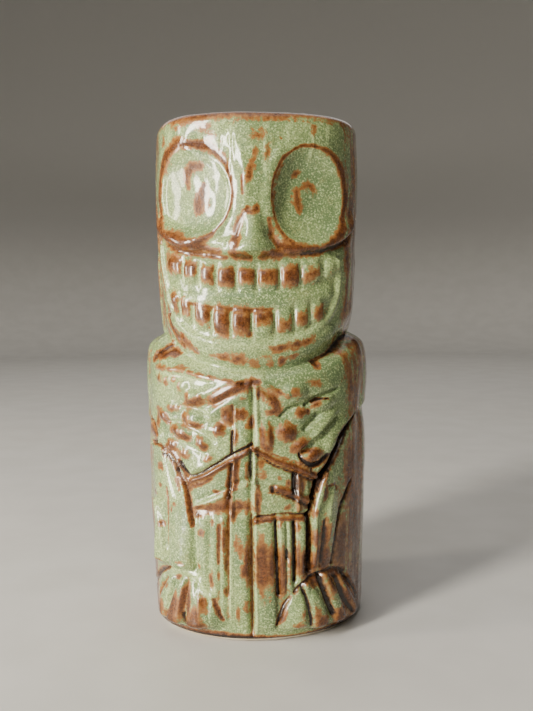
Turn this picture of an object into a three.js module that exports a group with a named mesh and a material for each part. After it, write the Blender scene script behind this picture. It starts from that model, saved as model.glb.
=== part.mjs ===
// Tiki mug: a slip-cast stoneware cup shaped as a carved figure, with a wide-eyed head, hands
// folded on its chest, a loincloth and two feet. It is three layers: the fired clay, the glaze
// coat outside, which rolls over the lip, and the liner glaze inside.
//
// Millimetres, +Z up, origin at the middle of the flat underside, face towards -Y.
// The figure is laid out at the size of its plaster mould, and firing shrinks it evenly, so
// every length below is a mould length until `fired` scales it. The carving is drawn on the
// unrolled surface: `u` runs round the mug from the middle of the face, positive towards +X,
// and `z` is the height.

import * as THREE from 'three';

// ---- Driving dimensions ----

const FIRED_HEIGHT = 165;
const MOULD_HEIGHT = 178;
const SHRINKAGE = FIRED_HEIGHT / MOULD_HEIGHT;

const UNROLL_RADIUS = 36; // arc length u = UNROLL_RADIUS * angle from the face
const COAT = 0.65; // thickness of a glaze coat
const CLEARANCE = 0.33; // between a coat and the clay under it
const CLAY_INSET = COAT + CLEARANCE;

const SECTION_TURN = THREE.MathUtils.degToRad(9); // the oval section is turned a little
const SECTION_DEPTH = 0.92; // front-to-back depth over width
const HEAD_SQUARENESS = 2.6; // superellipse exponents, 2 is an ellipse
const BODY_SQUARENESS = 2.05;
const CAVITY_SQUARENESS = 2.3;

// Half widths of the section, as [z, half width].
const BODY_PROFILE = [[0, 38.4], [11, 38.9], [26, 39.7], [41, 40.1], [60, 40.4], [70, 40.2],
  [78, 39.2], [86, 39.8], [96, 39.6], [110, 39.4]];
const HEAD_PROFILE = [[85, 34], [105, 34.4], [112, 35], [127, 35.9], [141, 36.4], [154, 36.9],
  [165, 36.85], [173.5, 36.3]];
const CAVITY_PROFILE = [[9.5, 31.4], [14, 32.3], [40, 32.8], [70, 32.8], [90, 31.6], [104, 28.4],
  [120, 29], [150, 30], [173.5, 29.9]];

const FLOOR_TOP = 7;
const FLOOR_EDGE = 27; // half width where the cavity's flat floor starts to curve up
const FOOT_CHAMFER = 1;
const BARE_FOOT = 1.5; // height of the unglazed foot
const LIP_CENTRE_Z = 173.5;
const LIP_HALF_WIDTH = 3.2;
const LIP_RISE = MOULD_HEIGHT - LIP_CENTRE_Z;
const LIP_STEPS = 3; // odd, so that one ring is the lip's crest
const ROLLOVER_END = 170; // the outer glaze ends here, inside the mouth
const LINER_END = 169.6;

// Grid: columns are close together across the carved front and wide apart behind. Rows are
// given by their height at the sides, and sag with the jaw line at the front.
const FRONT_REACH = 46.2;
const FRONT_COLUMNS = 35;
const BACK_COLUMNS = 12;
const WALL_ROWS = [BARE_FOOT, 5, 9, 13.5, 18, 22.5, 27, 35, 42.5, 48, 53, 58, 63, 68, 74, 80,
  86, 92, 97, 101.5, 104, 106.5, 110.5, 115, 119, 123, 127, 131, 135, 139, 145, 152, 159, 165,
  169.5, LIP_CENTRE_Z];
const CAVITY_ROWS = [150, 120, 104, 90, 60, 14];

// ---- Carving, laid out on the unrolled surface ----

const CHIN_LOW = 91.8; // the jaw line is lowest under the chin
const JAW_CURVE = 0.0066;
const JAW_HIGH = 104; // and runs level round the sides and back
const SHOULDER_FALL = 2.7; // how fast the shoulder rounds off below the jaw line

const EYES = [
  { u: -22.6, z: 151.6, halfWidth: 14.6, halfHeight: 15, ring: 1.2 },
  { u: 19.8, z: 150, halfWidth: 13.8, halfHeight: 16.4, ring: 0.9 },
];
const SOCKET_DEPTH = 2.7;
const PUPIL_HEIGHT = 0.7;

const BROW_EDGE = [[-44, 138], [-34, 136], [-20, 132.6], [0, 130.8], [17, 132], [30, 134.5],
  [42, 139]];
const LIP_LINE = [[-37, 134], [-36, 126], [-33, 115], [-28, 107.5], [-19, 103.4], [0, 101],
  [14, 102.8], [24, 107], [31, 114], [32, 124], [30, 131]];
const UPPER_TEETH = { top: 125.6, height: 6.5, curve: 0.0052, reach: 30,
  gaps: [-25, -18.8, -13, -6.2, 0.4, 8.4, 16.2, 24] };
const LOWER_TEETH = { top: 111.8, height: 7.6, curve: 0.0052, reach: 27,
  gaps: [-21.5, -14.7, -8.3, -1.2, 6.8, 13.8, 19.8] };

// Lower edge of the hands and forearms, from elbow to elbow.
const FOREARM_EDGE = [[-113, 78], [-60, 78], [-46, 72], [-34, 65.5], [-28, 61], [-22, 56.8],
  [-10, 63.3], [-1, 67.4], [8, 62.3], [20, 56.6], [27, 63], [32, 71], [40, 76], [60, 80],
  [113, 78]];
const LEFT_ARM_GAP = [[-36, 66.5], [-29, 62.5], [-25.5, 55], [-23.6, 48], [-22, 40]];
const RIGHT_ARM_GAP = [[40, 76], [32.5, 71.5], [28, 64.5], [21.5, 57], [18.8, 50], [17.5, 42],
  [16.8, 24]];
const RODS = [[[-22, 56.4], [-10, 62.6], [-1, 67]], [[-1, 67], [8, 61.8], [20, 56.2]]];
const KNUCKLES = [[-24, 87], [-20, 83.6], [-29, 79.6], [-20.4, 76.4], [-25, 72], [-12.6, 72.8],
  [-28, 67.4], [-17.6, 68.4], [3.2, 81.5], [12.6, 85], [14.6, 78], [3, 70.5], [10.2, 72],
  [14.4, 68], [17, 63.2], [22, 80]];
const BODY_GROOVES = [[[-1.6, 88], [-1.9, 5]], [[-8, 80], [-9.6, 17]], [[6.2, 42], [6.3, 12]],
  [[12, 42.5], [12, 18]], [[-20, 46.5], [-9, 51.5], [-2, 54.6]], [[9, 78], [13, 81], [28, 85]]];
const BELT = [[-1, 43.2], [6, 44], [17.5, 42.6]];

const FEET = [
  { u: -28, z: 11, halfWidth: 17, halfHeight: 13,
    toes: [[[-20.4, 18], [-19.6, 6]], [[-25.2, 18], [-26.4, 5]], [[-29, 17.6], [-30.8, 5]],
      [[-32.6, 17], [-35.2, 5]], [[-36.6, 15], [-39.6, 5]]] },
  { u: 24, z: 11, halfWidth: 17, halfHeight: 13,
    toes: [[[13, 16], [11.4, 6.5]], [[18, 19], [20, 5.5]], [[23.8, 20], [27, 5.5]],
      [[28.6, 19], [31.6, 5.5]], [[32.6, 18], [37, 5.5]]] },
];
const LEGS = [
  { u: -27.5, z: 41, halfWidth: 9, halfHeight: 24 },
  { u: 24.5, z: 41, halfWidth: 9, halfHeight: 22 },
];

// ---- Helpers on the unrolled surface ----

const lerp = THREE.MathUtils.lerp;
const smoothstep = THREE.MathUtils.smoothstep;

function alongProfile(points, z) {
  const next = points.findIndex(([pointZ]) => pointZ > z);
  if (next === 0) return points[0][1];
  if (next < 0) return points[points.length - 1][1];
  const [z0, a0] = points[next - 1];
  const [z1, a1] = points[next];
  return lerp(a0, a1, (z - z0) / (z1 - z0));
}

function distanceToPath(path, u, z) {
  let nearest = Infinity;
  for (let i = 1; i < path.length; i += 1) {
    const [u0, z0] = path[i - 1];
    const du = path[i][0] - u0;
    const dz = path[i][1] - z0;
    const share = ((u - u0) * du + (z - z0) * dz) / (du * du + dz * dz);
    const clamped = THREE.MathUtils.clamp(share, 0, 1);
    nearest = Math.min(nearest, Math.hypot(u - u0 - clamped * du, z - z0 - clamped * dz));
  }
  return nearest;
}

// A soft hump that is 1 in the middle and 0 from `distance` 1 outwards, on both sides.
function hump(distance) {
  return Math.max(0, 1 - distance ** 2) ** 2;
}

function stroke(path, halfWidth, u, z) {
  return hump(distanceToPath(path, u, z) / halfWidth);
}

function ovalDistance(oval, u, z) {
  return Math.hypot((u - oval.u) / oval.halfWidth, (z - oval.z) / oval.halfHeight);
}

// ---- The carving ----

function jawLine(u) {
  return Math.min(JAW_HIGH, CHIN_LOW + JAW_CURVE * u * u);
}

// A wall row's height, which follows the jaw line near it and is level far from it.
function rowHeight(row, angle) {
  const sag = smoothstep(row, 62, 100) * (1 - smoothstep(row, 108, 142));
  return row - sag * (JAW_HIGH - jawLine(angle * UNROLL_RADIUS));
}

function eyeRelief(u, z) {
  let height = 0;
  for (const eye of EYES) {
    const distance = ovalDistance(eye, u, z);
    if (distance < 1) height -= SOCKET_DEPTH * (1 - distance ** 2);
    height += eye.ring * hump((distance - 1.08) / 0.2);
    height += PUPIL_HEIGHT * hump(distance / 0.4);
  }
  return height;
}

function noseRelief(u, z) {
  const top = 147;
  const base = 130.5;
  if (z > top || z < base) return 0;
  const down = (top - z) / (top - base);
  const halfWidth = lerp(2.5, 8, down);
  return 2.4 * hump(u / halfWidth) * smoothstep(down, 0, 0.5) * (1 - smoothstep(down, 0.85, 1));
}

function teethRow(row, u, z) {
  const top = row.top + row.curve * u * u;
  const bottom = top - row.height;
  const across = smoothstep(z, bottom - 1, bottom + 1) * (1 - smoothstep(z, top - 1, top + 1));
  const inside = across * (1 - smoothstep(Math.abs(u), row.reach - 2, row.reach + 1));
  const gap = Math.max(...row.gaps.map((gapU) => hump((u - gapU) / 1.6)));
  return inside * (1.1 - 0.9 * gap);
}

function mouthRelief(u, z) {
  const muzzle = { u: 0, z: 116, halfWidth: 35, halfHeight: 17 };
  let height = 1.6 * hump(ovalDistance(muzzle, u, z) * 0.8);
  height += teethRow(UPPER_TEETH, u, z) + teethRow(LOWER_TEETH, u, z);
  height += 1.2 * stroke(LIP_LINE, 2.8, u, z);
  height += 1.1 * stroke(BROW_EDGE, 3, u, z);
  return height;
}

function chinRelief(u, z) {
  const below = smoothstep(z, 84, 94);
  const above = 1 - smoothstep(z, 100, 118);
  return 3 * hump(u / 40) * below * above;
}

function headRelief(u, z) {
  return eyeRelief(u, z) + noseRelief(u, z) + mouthRelief(u, z) + chinRelief(u, z);
}

function footRelief(foot, u, z) {
  let height = 2.2 * Math.sqrt(hump(ovalDistance(foot, u, z)));
  for (const toe of foot.toes) height += 1.4 * stroke(toe, 2.5, u, z);
  return height;
}

function bodyRelief(u, z) {
  const edge = alongProfile(FOREARM_EDGE, u);
  let height = 1.2 * smoothstep(z, edge - 1.5, edge + 1.5);
  for (const leg of LEGS) height += 1.7 * hump(ovalDistance(leg, u, z));
  for (const foot of FEET) height += footRelief(foot, u, z);
  for (const rod of RODS) height += 1.3 * stroke(rod, 2, u, z);
  for (const [knuckleU, knuckleZ] of KNUCKLES) {
    height += 0.9 * hump(Math.hypot(u - knuckleU, z - knuckleZ) / 2.8);
  }
  for (const groove of BODY_GROOVES) height -= 0.9 * stroke(groove, 1.7, u, z);
  height -= 1.8 * stroke(LEFT_ARM_GAP, 3.6, u, z);
  height -= 2.6 * stroke(RIGHT_ARM_GAP, 4, u, z);
  height += 0.9 * stroke(BELT, 1.8, u, z);
  return height;
}

// ---- Surfaces: each gives a radius for an angle from the face and a height ----

function ovalRadius(angle, halfWidth, squareness) {
  const turned = angle - Math.PI / 2 - SECTION_TURN;
  const across = Math.abs(Math.cos(turned)) ** squareness;
  const deep = Math.abs(Math.sin(turned) / SECTION_DEPTH) ** squareness;
  return halfWidth / (across + deep) ** (1 / squareness);
}

function outerRadius(angle, z) {
  const u = angle * UNROLL_RADIUS;
  const aboveJaw = z - jawLine(u);
  if (aboveJaw > 0) {
    const squareness = lerp(BODY_SQUARENESS, HEAD_SQUARENESS, smoothstep(aboveJaw, 0, 9));
    const fade = 1 - smoothstep(z, 166, LIP_CENTRE_Z);
    const plain = ovalRadius(angle, alongProfile(HEAD_PROFILE, z), squareness);
    return plain + fade * headRelief(u, z);
  }
  const shoulder = lerp(1.8, 5, smoothstep(Math.abs(u), 12, 44));
  const fade = smoothstep(z, BARE_FOOT, 5.5) * smoothstep(-aboveJaw, 0, 6);
  const plain = ovalRadius(angle, alongProfile(BODY_PROFILE, z), BODY_SQUARENESS);
  return plain - shoulder * Math.exp(aboveJaw / SHOULDER_FALL) + fade * bodyRelief(u, z);
}

function cavityRadius(angle, z) {
  return ovalRadius(angle, alongProfile(CAVITY_PROFILE, z), CAVITY_SQUARENESS);
}

// ---- Rings: closed loops of points round the mug, and the solids that they bound ----

function columnAngles() {
  const angles = [];
  for (let i = 0; i < FRONT_COLUMNS; i += 1) {
    angles.push(lerp(-FRONT_REACH, FRONT_REACH, i / FRONT_COLUMNS) / UNROLL_RADIUS);
  }
  const first = FRONT_REACH / UNROLL_RADIUS;
  for (let i = 0; i < BACK_COLUMNS; i += 1) {
    angles.push(lerp(first, 2 * Math.PI - first, i / BACK_COLUMNS));
  }
  return angles;
}

const ANGLES = columnAngles();

function fired(radius, angle, z) {
  const scaled = radius * SHRINKAGE;
  return new THREE.Vector3(scaled * Math.sin(angle), -scaled * Math.cos(angle), z * SHRINKAGE);
}

// The angle used for carving is folded into half a turn either side of the face.
function signedAngle(angle) {
  return angle > Math.PI ? angle - 2 * Math.PI : angle;
}

function ring(z, radiusAt) {
  return ANGLES.map((angle) => fired(radiusAt(signedAngle(angle)), angle, z));
}

function wallRing(row, inset) {
  return ANGLES.map((angle) => {
    const z = rowHeight(row, signedAngle(angle));
    return fired(outerRadius(signedAngle(angle), z) - inset, angle, z);
  });
}

function pole(z) {
  return [fired(0, 0, z)];
}

function cavityRing(z, inset) {
  return ring(z, (angle) => cavityRadius(angle, z) + inset);
}

// The rounded lip, from its outer side over the top to its inner side, sunk by `inset`.
function lipRings(inset) {
  const rings = [];
  for (let i = 1; i <= LIP_STEPS; i += 1) {
    const turn = (Math.PI * i) / (LIP_STEPS + 1);
    const across = (LIP_HALF_WIDTH - inset) * Math.cos(turn);
    const z = LIP_CENTRE_Z + (LIP_RISE - inset) * Math.sin(turn);
    rings.push(ring(z, (angle) => outerRadius(angle, LIP_CENTRE_Z) - LIP_HALF_WIDTH + across));
  }
  return rings;
}

function innerLipRing(inset) {
  const inward = 2 * LIP_HALF_WIDTH - inset;
  return ring(LIP_CENTRE_Z, (angle) => outerRadius(angle, LIP_CENTRE_Z) - inward);
}

function rolloverRing(inset) {
  return cavityRing(ROLLOVER_END, inset);
}

function floorRings(inset) {
  const flat = ring(FLOOR_TOP - inset, (angle) => ovalRadius(angle, FLOOR_EDGE, CAVITY_SQUARENESS));
  return [cavityRing(9.5, inset), flat, pole(FLOOR_TOP - inset)];
}

// Joins each ring to the next, and the last to the first where the shell is a closed loop. Each
// four-sided cell is split from its lower left corner to its upper right one, seen from outside,
// so that a coat and the clay under it have parallel facets.
function shell(rings, loops = false) {
  const points = rings.flat();
  const starts = [];
  rings.reduce((start, { length }) => {
    starts.push(start);
    return start + length;
  }, 0);
  const at = (row, column) => starts[row] + (rings[row].length === 1 ? 0 : column % ANGLES.length);
  const index = [];
  const lastRow = loops ? rings.length : rings.length - 1;
  for (let row = 0; row < lastRow; row += 1) {
    const above = (row + 1) % rings.length;
    for (let column = 0; column < ANGLES.length; column += 1) {
      const left = at(row, column);
      const right = at(row, column + 1);
      const nextLeft = at(above, column);
      const nextRight = at(above, column + 1);
      if (left === right) index.push(left, nextRight, nextLeft);
      else if (nextLeft === nextRight) index.push(left, right, nextLeft);
      else if (rings[above][0].z > rings[row][0].z) {
        index.push(left, right, nextRight, left, nextRight, nextLeft);
      } else index.push(left, right, nextLeft, right, nextRight, nextLeft);
    }
  }
  const geometry = new THREE.BufferGeometry().setFromPoints(points);
  geometry.setIndex(index);
  geometry.computeVertexNormals();
  return geometry;
}

function part(name, geometry, color, roughness) {
  const material = new THREE.MeshStandardMaterial({ color, roughness, metalness: 0 });
  const mesh = new THREE.Mesh(geometry, material);
  mesh.name = name;
  return mesh;
}

// ---- The three layers ----

function clayBody() {
  const footRadius = (angle) => outerRadius(angle, 0) - CLAY_INSET - FOOT_CHAMFER;
  const rings = [
    pole(0),
    ring(0, footRadius),
    ...WALL_ROWS.map((row) => wallRing(row, CLAY_INSET)),
    ...lipRings(CLAY_INSET),
    innerLipRing(CLAY_INSET),
    rolloverRing(CLAY_INSET),
    ...CAVITY_ROWS.map((z) => cavityRing(z, CLAY_INSET)),
    ...floorRings(CLAY_INSET),
  ];
  return part('clay_body', shell(rings), 0xd8cbb4, 0.85);
}

function outerGlaze() {
  const seen = [
    ...WALL_ROWS.map((row) => wallRing(row, 0)),
    ...lipRings(0),
    innerLipRing(0),
    rolloverRing(0),
  ];
  const hidden = [
    ...WALL_ROWS.map((row) => wallRing(row, COAT)),
    ...lipRings(COAT),
    innerLipRing(COAT),
    rolloverRing(COAT),
  ];
  return part('outer_glaze', shell([...seen, ...hidden.reverse()], true), 0x8fa07a, 0.3);
}

function linerGlaze() {
  const wall = (inset) => [
    cavityRing(LINER_END, inset),
    ...CAVITY_ROWS.map((z) => cavityRing(z, inset)),
    ...floorRings(inset),
  ];
  const rings = [...wall(COAT).reverse(), ...wall(0)];
  return part('liner_glaze', shell(rings), 0x7d8a62, 0.25);
}

const mug = new THREE.Group();
mug.add(clayBody(), outerGlaze(), linerGlaze());

export default mug;
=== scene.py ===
"""The looks of a slip-cast tiki mug whose green glaze breaks to brown, on a plain pale floor.

The figure is laid out at the size of its plaster mould, in millimetres, on the mug's unrolled
surface: u runs round the mug from the middle of the face, positive towards +X, and z is the
surface is the height. The surfaces are scaled to the fired size and placed in metres.
"""

import math

import bpy
import numpy as np
from mathutils import Matrix, Vector


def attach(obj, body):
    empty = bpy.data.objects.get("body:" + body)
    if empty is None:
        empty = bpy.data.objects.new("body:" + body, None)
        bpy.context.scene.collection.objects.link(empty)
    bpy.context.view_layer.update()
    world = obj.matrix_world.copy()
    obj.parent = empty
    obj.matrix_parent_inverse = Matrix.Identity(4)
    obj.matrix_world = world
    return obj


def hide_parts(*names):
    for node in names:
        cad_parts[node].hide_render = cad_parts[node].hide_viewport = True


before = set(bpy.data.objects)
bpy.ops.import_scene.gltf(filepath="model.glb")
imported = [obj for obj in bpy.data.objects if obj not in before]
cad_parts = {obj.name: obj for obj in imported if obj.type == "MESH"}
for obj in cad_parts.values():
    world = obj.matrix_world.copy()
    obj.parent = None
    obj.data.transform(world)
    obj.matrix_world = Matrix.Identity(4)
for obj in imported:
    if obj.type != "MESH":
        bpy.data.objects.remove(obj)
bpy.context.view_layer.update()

# ---- Driving dimensions, in mould millimetres unless named otherwise ----

FIRED_HEIGHT_M = 0.165
MOULD_HEIGHT = 178.0
METRES = FIRED_HEIGHT_M / MOULD_HEIGHT  # metres per mould millimetre

UNROLL_RADIUS = 36.0
HALF_ROUND = math.pi * UNROLL_RADIUS
SECTION_TURN = math.radians(9)
SECTION_DEPTH = 0.92
HEAD_SQUARENESS = 2.6
BODY_SQUARENESS = 2.05
CAVITY_SQUARENESS = 2.3

BODY_PROFILE = [
    (0, 38.4), (11, 38.9), (26, 39.7), (41, 40.1), (60, 40.4), (70, 40.2), (78, 39.2), (86, 39.8),
    (96, 39.6), (110, 39.4),
]
HEAD_PROFILE = [
    (85, 34), (105, 34.4), (112, 35), (127, 35.9), (141, 36.4), (154, 36.9), (165, 36.85),
    (173.5, 36.3),
]
CAVITY_PROFILE = [
    (9.5, 31.4), (14, 32.3), (40, 32.8), (70, 32.8), (90, 31.6), (104, 28.4), (120, 29), (150, 30),
    (173.5, 29.9),
]

FLOOR_TOP = 7.0
FLOOR_EDGE = 27.0
CORNER_TOP = 14.0  # where the cavity's wall starts to curve in towards the floor
BARE_FOOT = 1.5
LIP_CENTRE_Z = 173.5
LIP_HALF_WIDTH = 3.2
LIP_RISE = MOULD_HEIGHT - LIP_CENTRE_Z
LIP_WOBBLE = 0.25
ROLLOVER_END = 170.0
LINER_END = 169.8
COAT = 0.6
SEAM = 0.1  # between a coat and the clay under it

CHIN_LOW = 91.8
JAW_CURVE = 0.0066
JAW_HIGH = 104.0
SHOULDER_FALL = 2.7

FRONT_REACH = 54.0  # the finest columns cover this much either side of the face
SIDE_REACH = 74.0
FRONT_STEP, SIDE_STEP, BACK_STEP = 0.5, 1.0, 1.7
ROW_STEP = 0.66
UNDERSIDE_STRIDE = 8  # the hidden face of the glaze has one row in this many
LIP_ROWS = 14
CLAY_LIP_ROWS = 10
CAVITY_ROWS = 34
CORNER_ROWS = 5


# ---- Curves and soft shapes on the unrolled surface ----

def smoothstep(x, low, high):
    """Climbs smoothly from 0 at low to 1 at high."""
    t = np.clip((x - low) / (high - low), 0, 1)
    return t * t * (3 - 2 * t)


def band(x, low, full_low, full_high, high):
    """Climbs from 0 at low to 1, and falls to 0 again at high."""
    return smoothstep(x, low, full_low) * (1 - smoothstep(x, full_high, high))


def profile(points, z):
    """The value at height z on the line through the points, each a height and a value."""
    return np.interp(z, *zip(*points))


def spline(points, steps=6):
    """A Catmull-Rom curve through the points, which may carry a third number: a half width."""
    p = np.array(points, float)
    if len(p) < 3:
        return p
    ends = np.vstack([2 * p[0] - p[1], p, 2 * p[-1] - p[-2]])
    out = []
    for a, b, c, d in zip(ends, ends[1:], ends[2:], ends[3:]):
        for t in np.arange(steps) / steps:
            out.append(0.5 * (2 * b + (c - a) * t + (2 * a - 5 * b + 4 * c - d) * t ** 2
                              + (3 * b - a - 3 * c + d) * t ** 3))
    out.append(p[-1])
    return np.array(out)


def soft(d):
    """A bell that ends at 1."""
    return np.clip(1 - d * d, 0, 1) ** 2


def domed(d):
    """A fuller rise, like half a round rod, that ends at 1."""
    return np.clip(1 - d * d, 0, 1)


def knoll(d):
    """Rounder than the bell, softer at its foot than the dome."""
    return np.clip(1 - d * d, 0, 1) ** 1.3


def plump(d):
    """A broad, gently curved top with steep sides, that ends at 1."""
    return np.sqrt(np.clip(1 - np.abs(d) ** 2.6, 0, 1))


def mesa(d):
    """Flat to half way, then down to nothing at 1."""
    return 1 - smoothstep(d, 0.5, 1.0)


def mesa_bowl(d):
    """A dish whose edge is rounded over."""
    bowl = np.clip(1 - d ** 2.2, 0, 1)
    return bowl * smoothstep(bowl, -0.12, 0.34)


def ramp(d):
    """Glaze tints: one half at the stated width, nothing at twice the width."""
    return np.clip(1 - 0.5 * d, 0, 1)


def value_noise(u, z, u_size, z_size, seed):
    """Smooth noise from -1 to 1 that joins up with itself round the mug."""
    cells_u = max(3, int(round(2 * HALF_ROUND / u_size)))
    cells_z = int(MOULD_HEIGHT / z_size) + 3
    grid = np.random.default_rng(seed).uniform(-1, 1, (cells_z, cells_u))
    x = (u + HALF_ROUND) / (2 * HALF_ROUND) * cells_u
    y = np.clip(z, 0, MOULD_HEIGHT) / z_size
    x0, y0 = np.floor(x).astype(int), np.floor(y).astype(int)
    fx, fy = x - x0, y - y0
    fx, fy = fx * fx * (3 - 2 * fx), fy * fy * (3 - 2 * fy)
    left, right = x0 % cells_u, (x0 + 1) % cells_u
    low = grid[y0, left] * (1 - fx) + grid[y0, right] * fx
    high = grid[y0 + 1, left] * (1 - fx) + grid[y0 + 1, right] * fx
    return low * (1 - fy) + high * fy


class Carving:
    """Height and glaze layers over the unrolled surface, one value for each grid point.

    brown is thin glaze breaking to brown; the brown-black layer is painted shade in cuts and pits, and
    brown-black glaze at lip and foot; the pale layer is thick milky green glaze, and painted highlight
    on some lit ridges; streak is how far the brown runs in upright streaks.
    """

    def __init__(self, u, z):
        self.u, self.z = u, z
        self.height = np.zeros(u.shape)
        self.layers = {name: np.zeros(u.shape) for name in ("brown", "dark", "pale", "streak")}

    def _nearness(self, path, half, reach):
        """Distance to the path over the local half width, on the points near it."""
        p = np.array(path, float)
        if p.shape[1] == 2:
            p = np.column_stack([p, np.full(len(p), half)])
        margin = p[:, 2].max() * reach
        near = ((self.u > p[:, 0].min() - margin) & (self.u < p[:, 0].max() + margin)
                & (self.z > p[:, 1].min() - margin) & (self.z < p[:, 1].max() + margin))
        u, z = self.u[near], self.z[near]
        best = np.full(u.shape, 9.0)
        for (u0, z0, h0), (u1, z1, h1) in zip(p, p[1:]):
            du, dz = u1 - u0, z1 - z0
            t = np.clip(((u - u0) * du + (z - z0) * dz) / (du * du + dz * dz), 0, 1)
            d = np.hypot(u - u0 - t * du, z - z0 - t * dz) / (h0 + t * (h1 - h0))
            best = np.minimum(best, d)
        return near, best

    def tint(self, near, **amounts):
        """Each tint is its strength and a field from 0 to 1; the stronger tint stays."""
        for name, (amount, field) in amounts.items():
            layer = self.layers[name]
            layer[near] = np.maximum(layer[near], amount * field)

    def _lay(self, near, d, height, shape, tints):
        self.height[near] += height * shape(d)
        self.tint(near, **{name: (amount, ramp(d)) for name, amount in tints.items()})

    def stroke(self, points, half=1.0, height=0.0, shape=soft, **tints):
        """A ridge or groove along a curve; a point may carry its own half width."""
        near, d = self._nearness(spline(points), half, 2 if tints else 1)
        self._lay(near, d, height, shape, tints)

    def line(self, points, half=1.0, height=0.0, shape=soft, **tints):
        """The same with straight stretches between the points."""
        near, d = self._nearness(points, half, 2 if tints else 1)
        self._lay(near, d, height, shape, tints)

    def oval(self, u, z, half_u, half_z, height=0.0, tilt=0.0, shape=soft, **tints):
        cos, sin = math.cos(math.radians(tilt)), math.sin(math.radians(tilt))
        across = ((self.u - u) * cos + (self.z - z) * sin) / half_u
        along = ((self.z - z) * cos - (self.u - u) * sin) / half_z
        d = np.hypot(across, along)
        near = d < 2
        self._lay(near, d[near], height, shape, tints)

    def stains(self, rows, height=0.0, tilt=0.0, **tints):
        """Ovals of thin glaze: u, z, half width, half height, its own tilt if any, strength."""
        for u, z, half_u, half_z, *own_tilt, strength in rows:
            self.oval(u, z, half_u, half_z, height, *(own_tilt or [tilt]), brown=strength, **tints)

    def cover(self, **fields):
        """Lays whole fields of tint over the surface."""
        for name, field in fields.items():
            self.layers[name] = np.maximum(self.layers[name], field)

    def wipe(self, name, points, half):
        """Takes a tint off the surface along a path."""
        near, d = self._nearness(points, half, 1.5)
        self.layers[name][near] *= 1 - mesa(d / 1.5)

    def ledge(self, points, rise, reach, undercut=0.0):
        """A step along a curve: what lies above stands proud, and fades away over the reach."""
        p = spline(points)
        above = self.z - np.interp(self.u, p[:, 0], p[:, 1])
        ends = band(self.u, p[0, 0], p[0, 0] + 4, p[-1, 0] - 4, p[-1, 0])
        self.height += rise * ends * smoothstep(above, -0.6, 0.8) * (1 - smoothstep(above, 2.4, reach))
        self.height -= undercut * ends * soft((above + 1.4) / 1.8)

    def pads(self, edges, low, high, rise):
        """Rounded columns side by side; each edge is u at the top and u at the foot."""
        fade = 2.5
        t = np.clip((self.z - low) / (high - low), 0, 1)
        ends = band(self.z, low - fade, low + fade, high - fade, high + fade)
        for (top0, foot0), (top1, foot1) in zip(edges, edges[1:]):
            left, right = foot0 + (top0 - foot0) * t, foot1 + (top1 - foot1) * t
            across = (2 * self.u - left - right) / (right - left)
            self.height += rise * ends * plump(across)


# ---- The head ----

LEFT_EYE = {"u": -22.4, "z": 151.2, "half_u": 14.6, "half_z": 15.2}
RIGHT_EYE = {"u": 19.8, "z": 150.0, "half_u": 13.6, "half_z": 16.5}
SOCKET_DEPTH = 3.4
NOSE_TOP = 147.2
NOSE_TIP = 131.2
NOSE_RISE = 2.8

# Widths of the brown ring round each socket, anticlockwise from the +X side.
LEFT_RING = [
    (0, 1.7), (30, 2.2), (60, 2.8), (95, 3.4), (135, 3.8), (155, 2.2), (180, 3), (215, 3.8),
    (250, 3.2), (285, 2.2), (310, 0.9), (335, 0.9),
]
RIGHT_RING = [
    (0, 2.4), (35, 2.6), (75, 1), (120, 1.2), (180, 0.8), (225, 1.6), (250, 2.8), (290, 2.4),
    (330, 2),
]


def carve_socket(s, eye, ring):
    u, z = (s.u - eye["u"]) / eye["half_u"], (s.z - eye["z"]) / eye["half_z"]
    d = np.hypot(u, z)
    size = (eye["half_u"] + eye["half_z"]) / 2
    outside = (d - 1) * size
    s.height -= SOCKET_DEPTH * mesa_bowl(d)
    s.height += 0.35 * soft((outside - 1.8) / 3.6)
    angles, widths = zip(*ring)
    width = np.interp(np.degrees(np.arctan2(z, u)) % 360, angles, widths, period=360)
    width = width * (1 + 0.45 * value_noise(s.u, s.z, 5, 5, 31))
    near = np.abs(outside) < 10
    off = np.abs(outside - width / 2 + 0.2) / (width / 2)
    s.tint(near, brown=(0.92, ramp(off[near])))


def carve_eyes(s):
    """Two wide sockets, ringed in brown, with a stained swelling for each pupil."""
    carve_socket(s, LEFT_EYE, LEFT_RING)
    carve_socket(s, RIGHT_EYE, RIGHT_RING)
    s.stroke([(-18.6, 154.2, 0.9), (-19, 151.4, 2.2), (-20.2, 148.2, 2.6), (-21.4, 146, 1.4)],
             brown=1.05)
    s.oval(-28.5, 150, 10.5, 12, 0.55)
    s.oval(-18.6, 147.6, 4.6, 6.4, 0.34)
    s.stroke([(-24.6, 154, 1), (-25, 156.4, 1.3), (-24, 158.8, 1.9), (-22, 160.2, 1.6),
              (-18.8, 160.2, 1.2)], brown=0.86)
    s.oval(-23.4, 157, 5, 5, 0.25)
    s.stroke([(14.8, 157, 1), (17, 158.2, 1)], brown=0.62)
    s.stroke([(16.4, 152, 1.6), (16.8, 148.6, 2), (17.6, 146, 1.4)], brown=0.66)
    # Brown stain on the +X pupil, with a little painted shade, brown-black, across it.
    s.stroke([(18.6, 153, 1.6), (21.6, 154, 1.8), (24, 152, 1.4)], brown=0.52, dark=0.2)
    s.oval(18, 151, 6.5, 8.5, 0.7)
    # Painted shadow, brown and brown-black, along the nose side of the +X socket, under its rim.
    s.stroke([(8.4, 138, 1), (6.8, 146, 1.3), (7.4, 154, 1.2), (10.4, 161, 1)], brown=0.5,
             dark=0.34)


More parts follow.
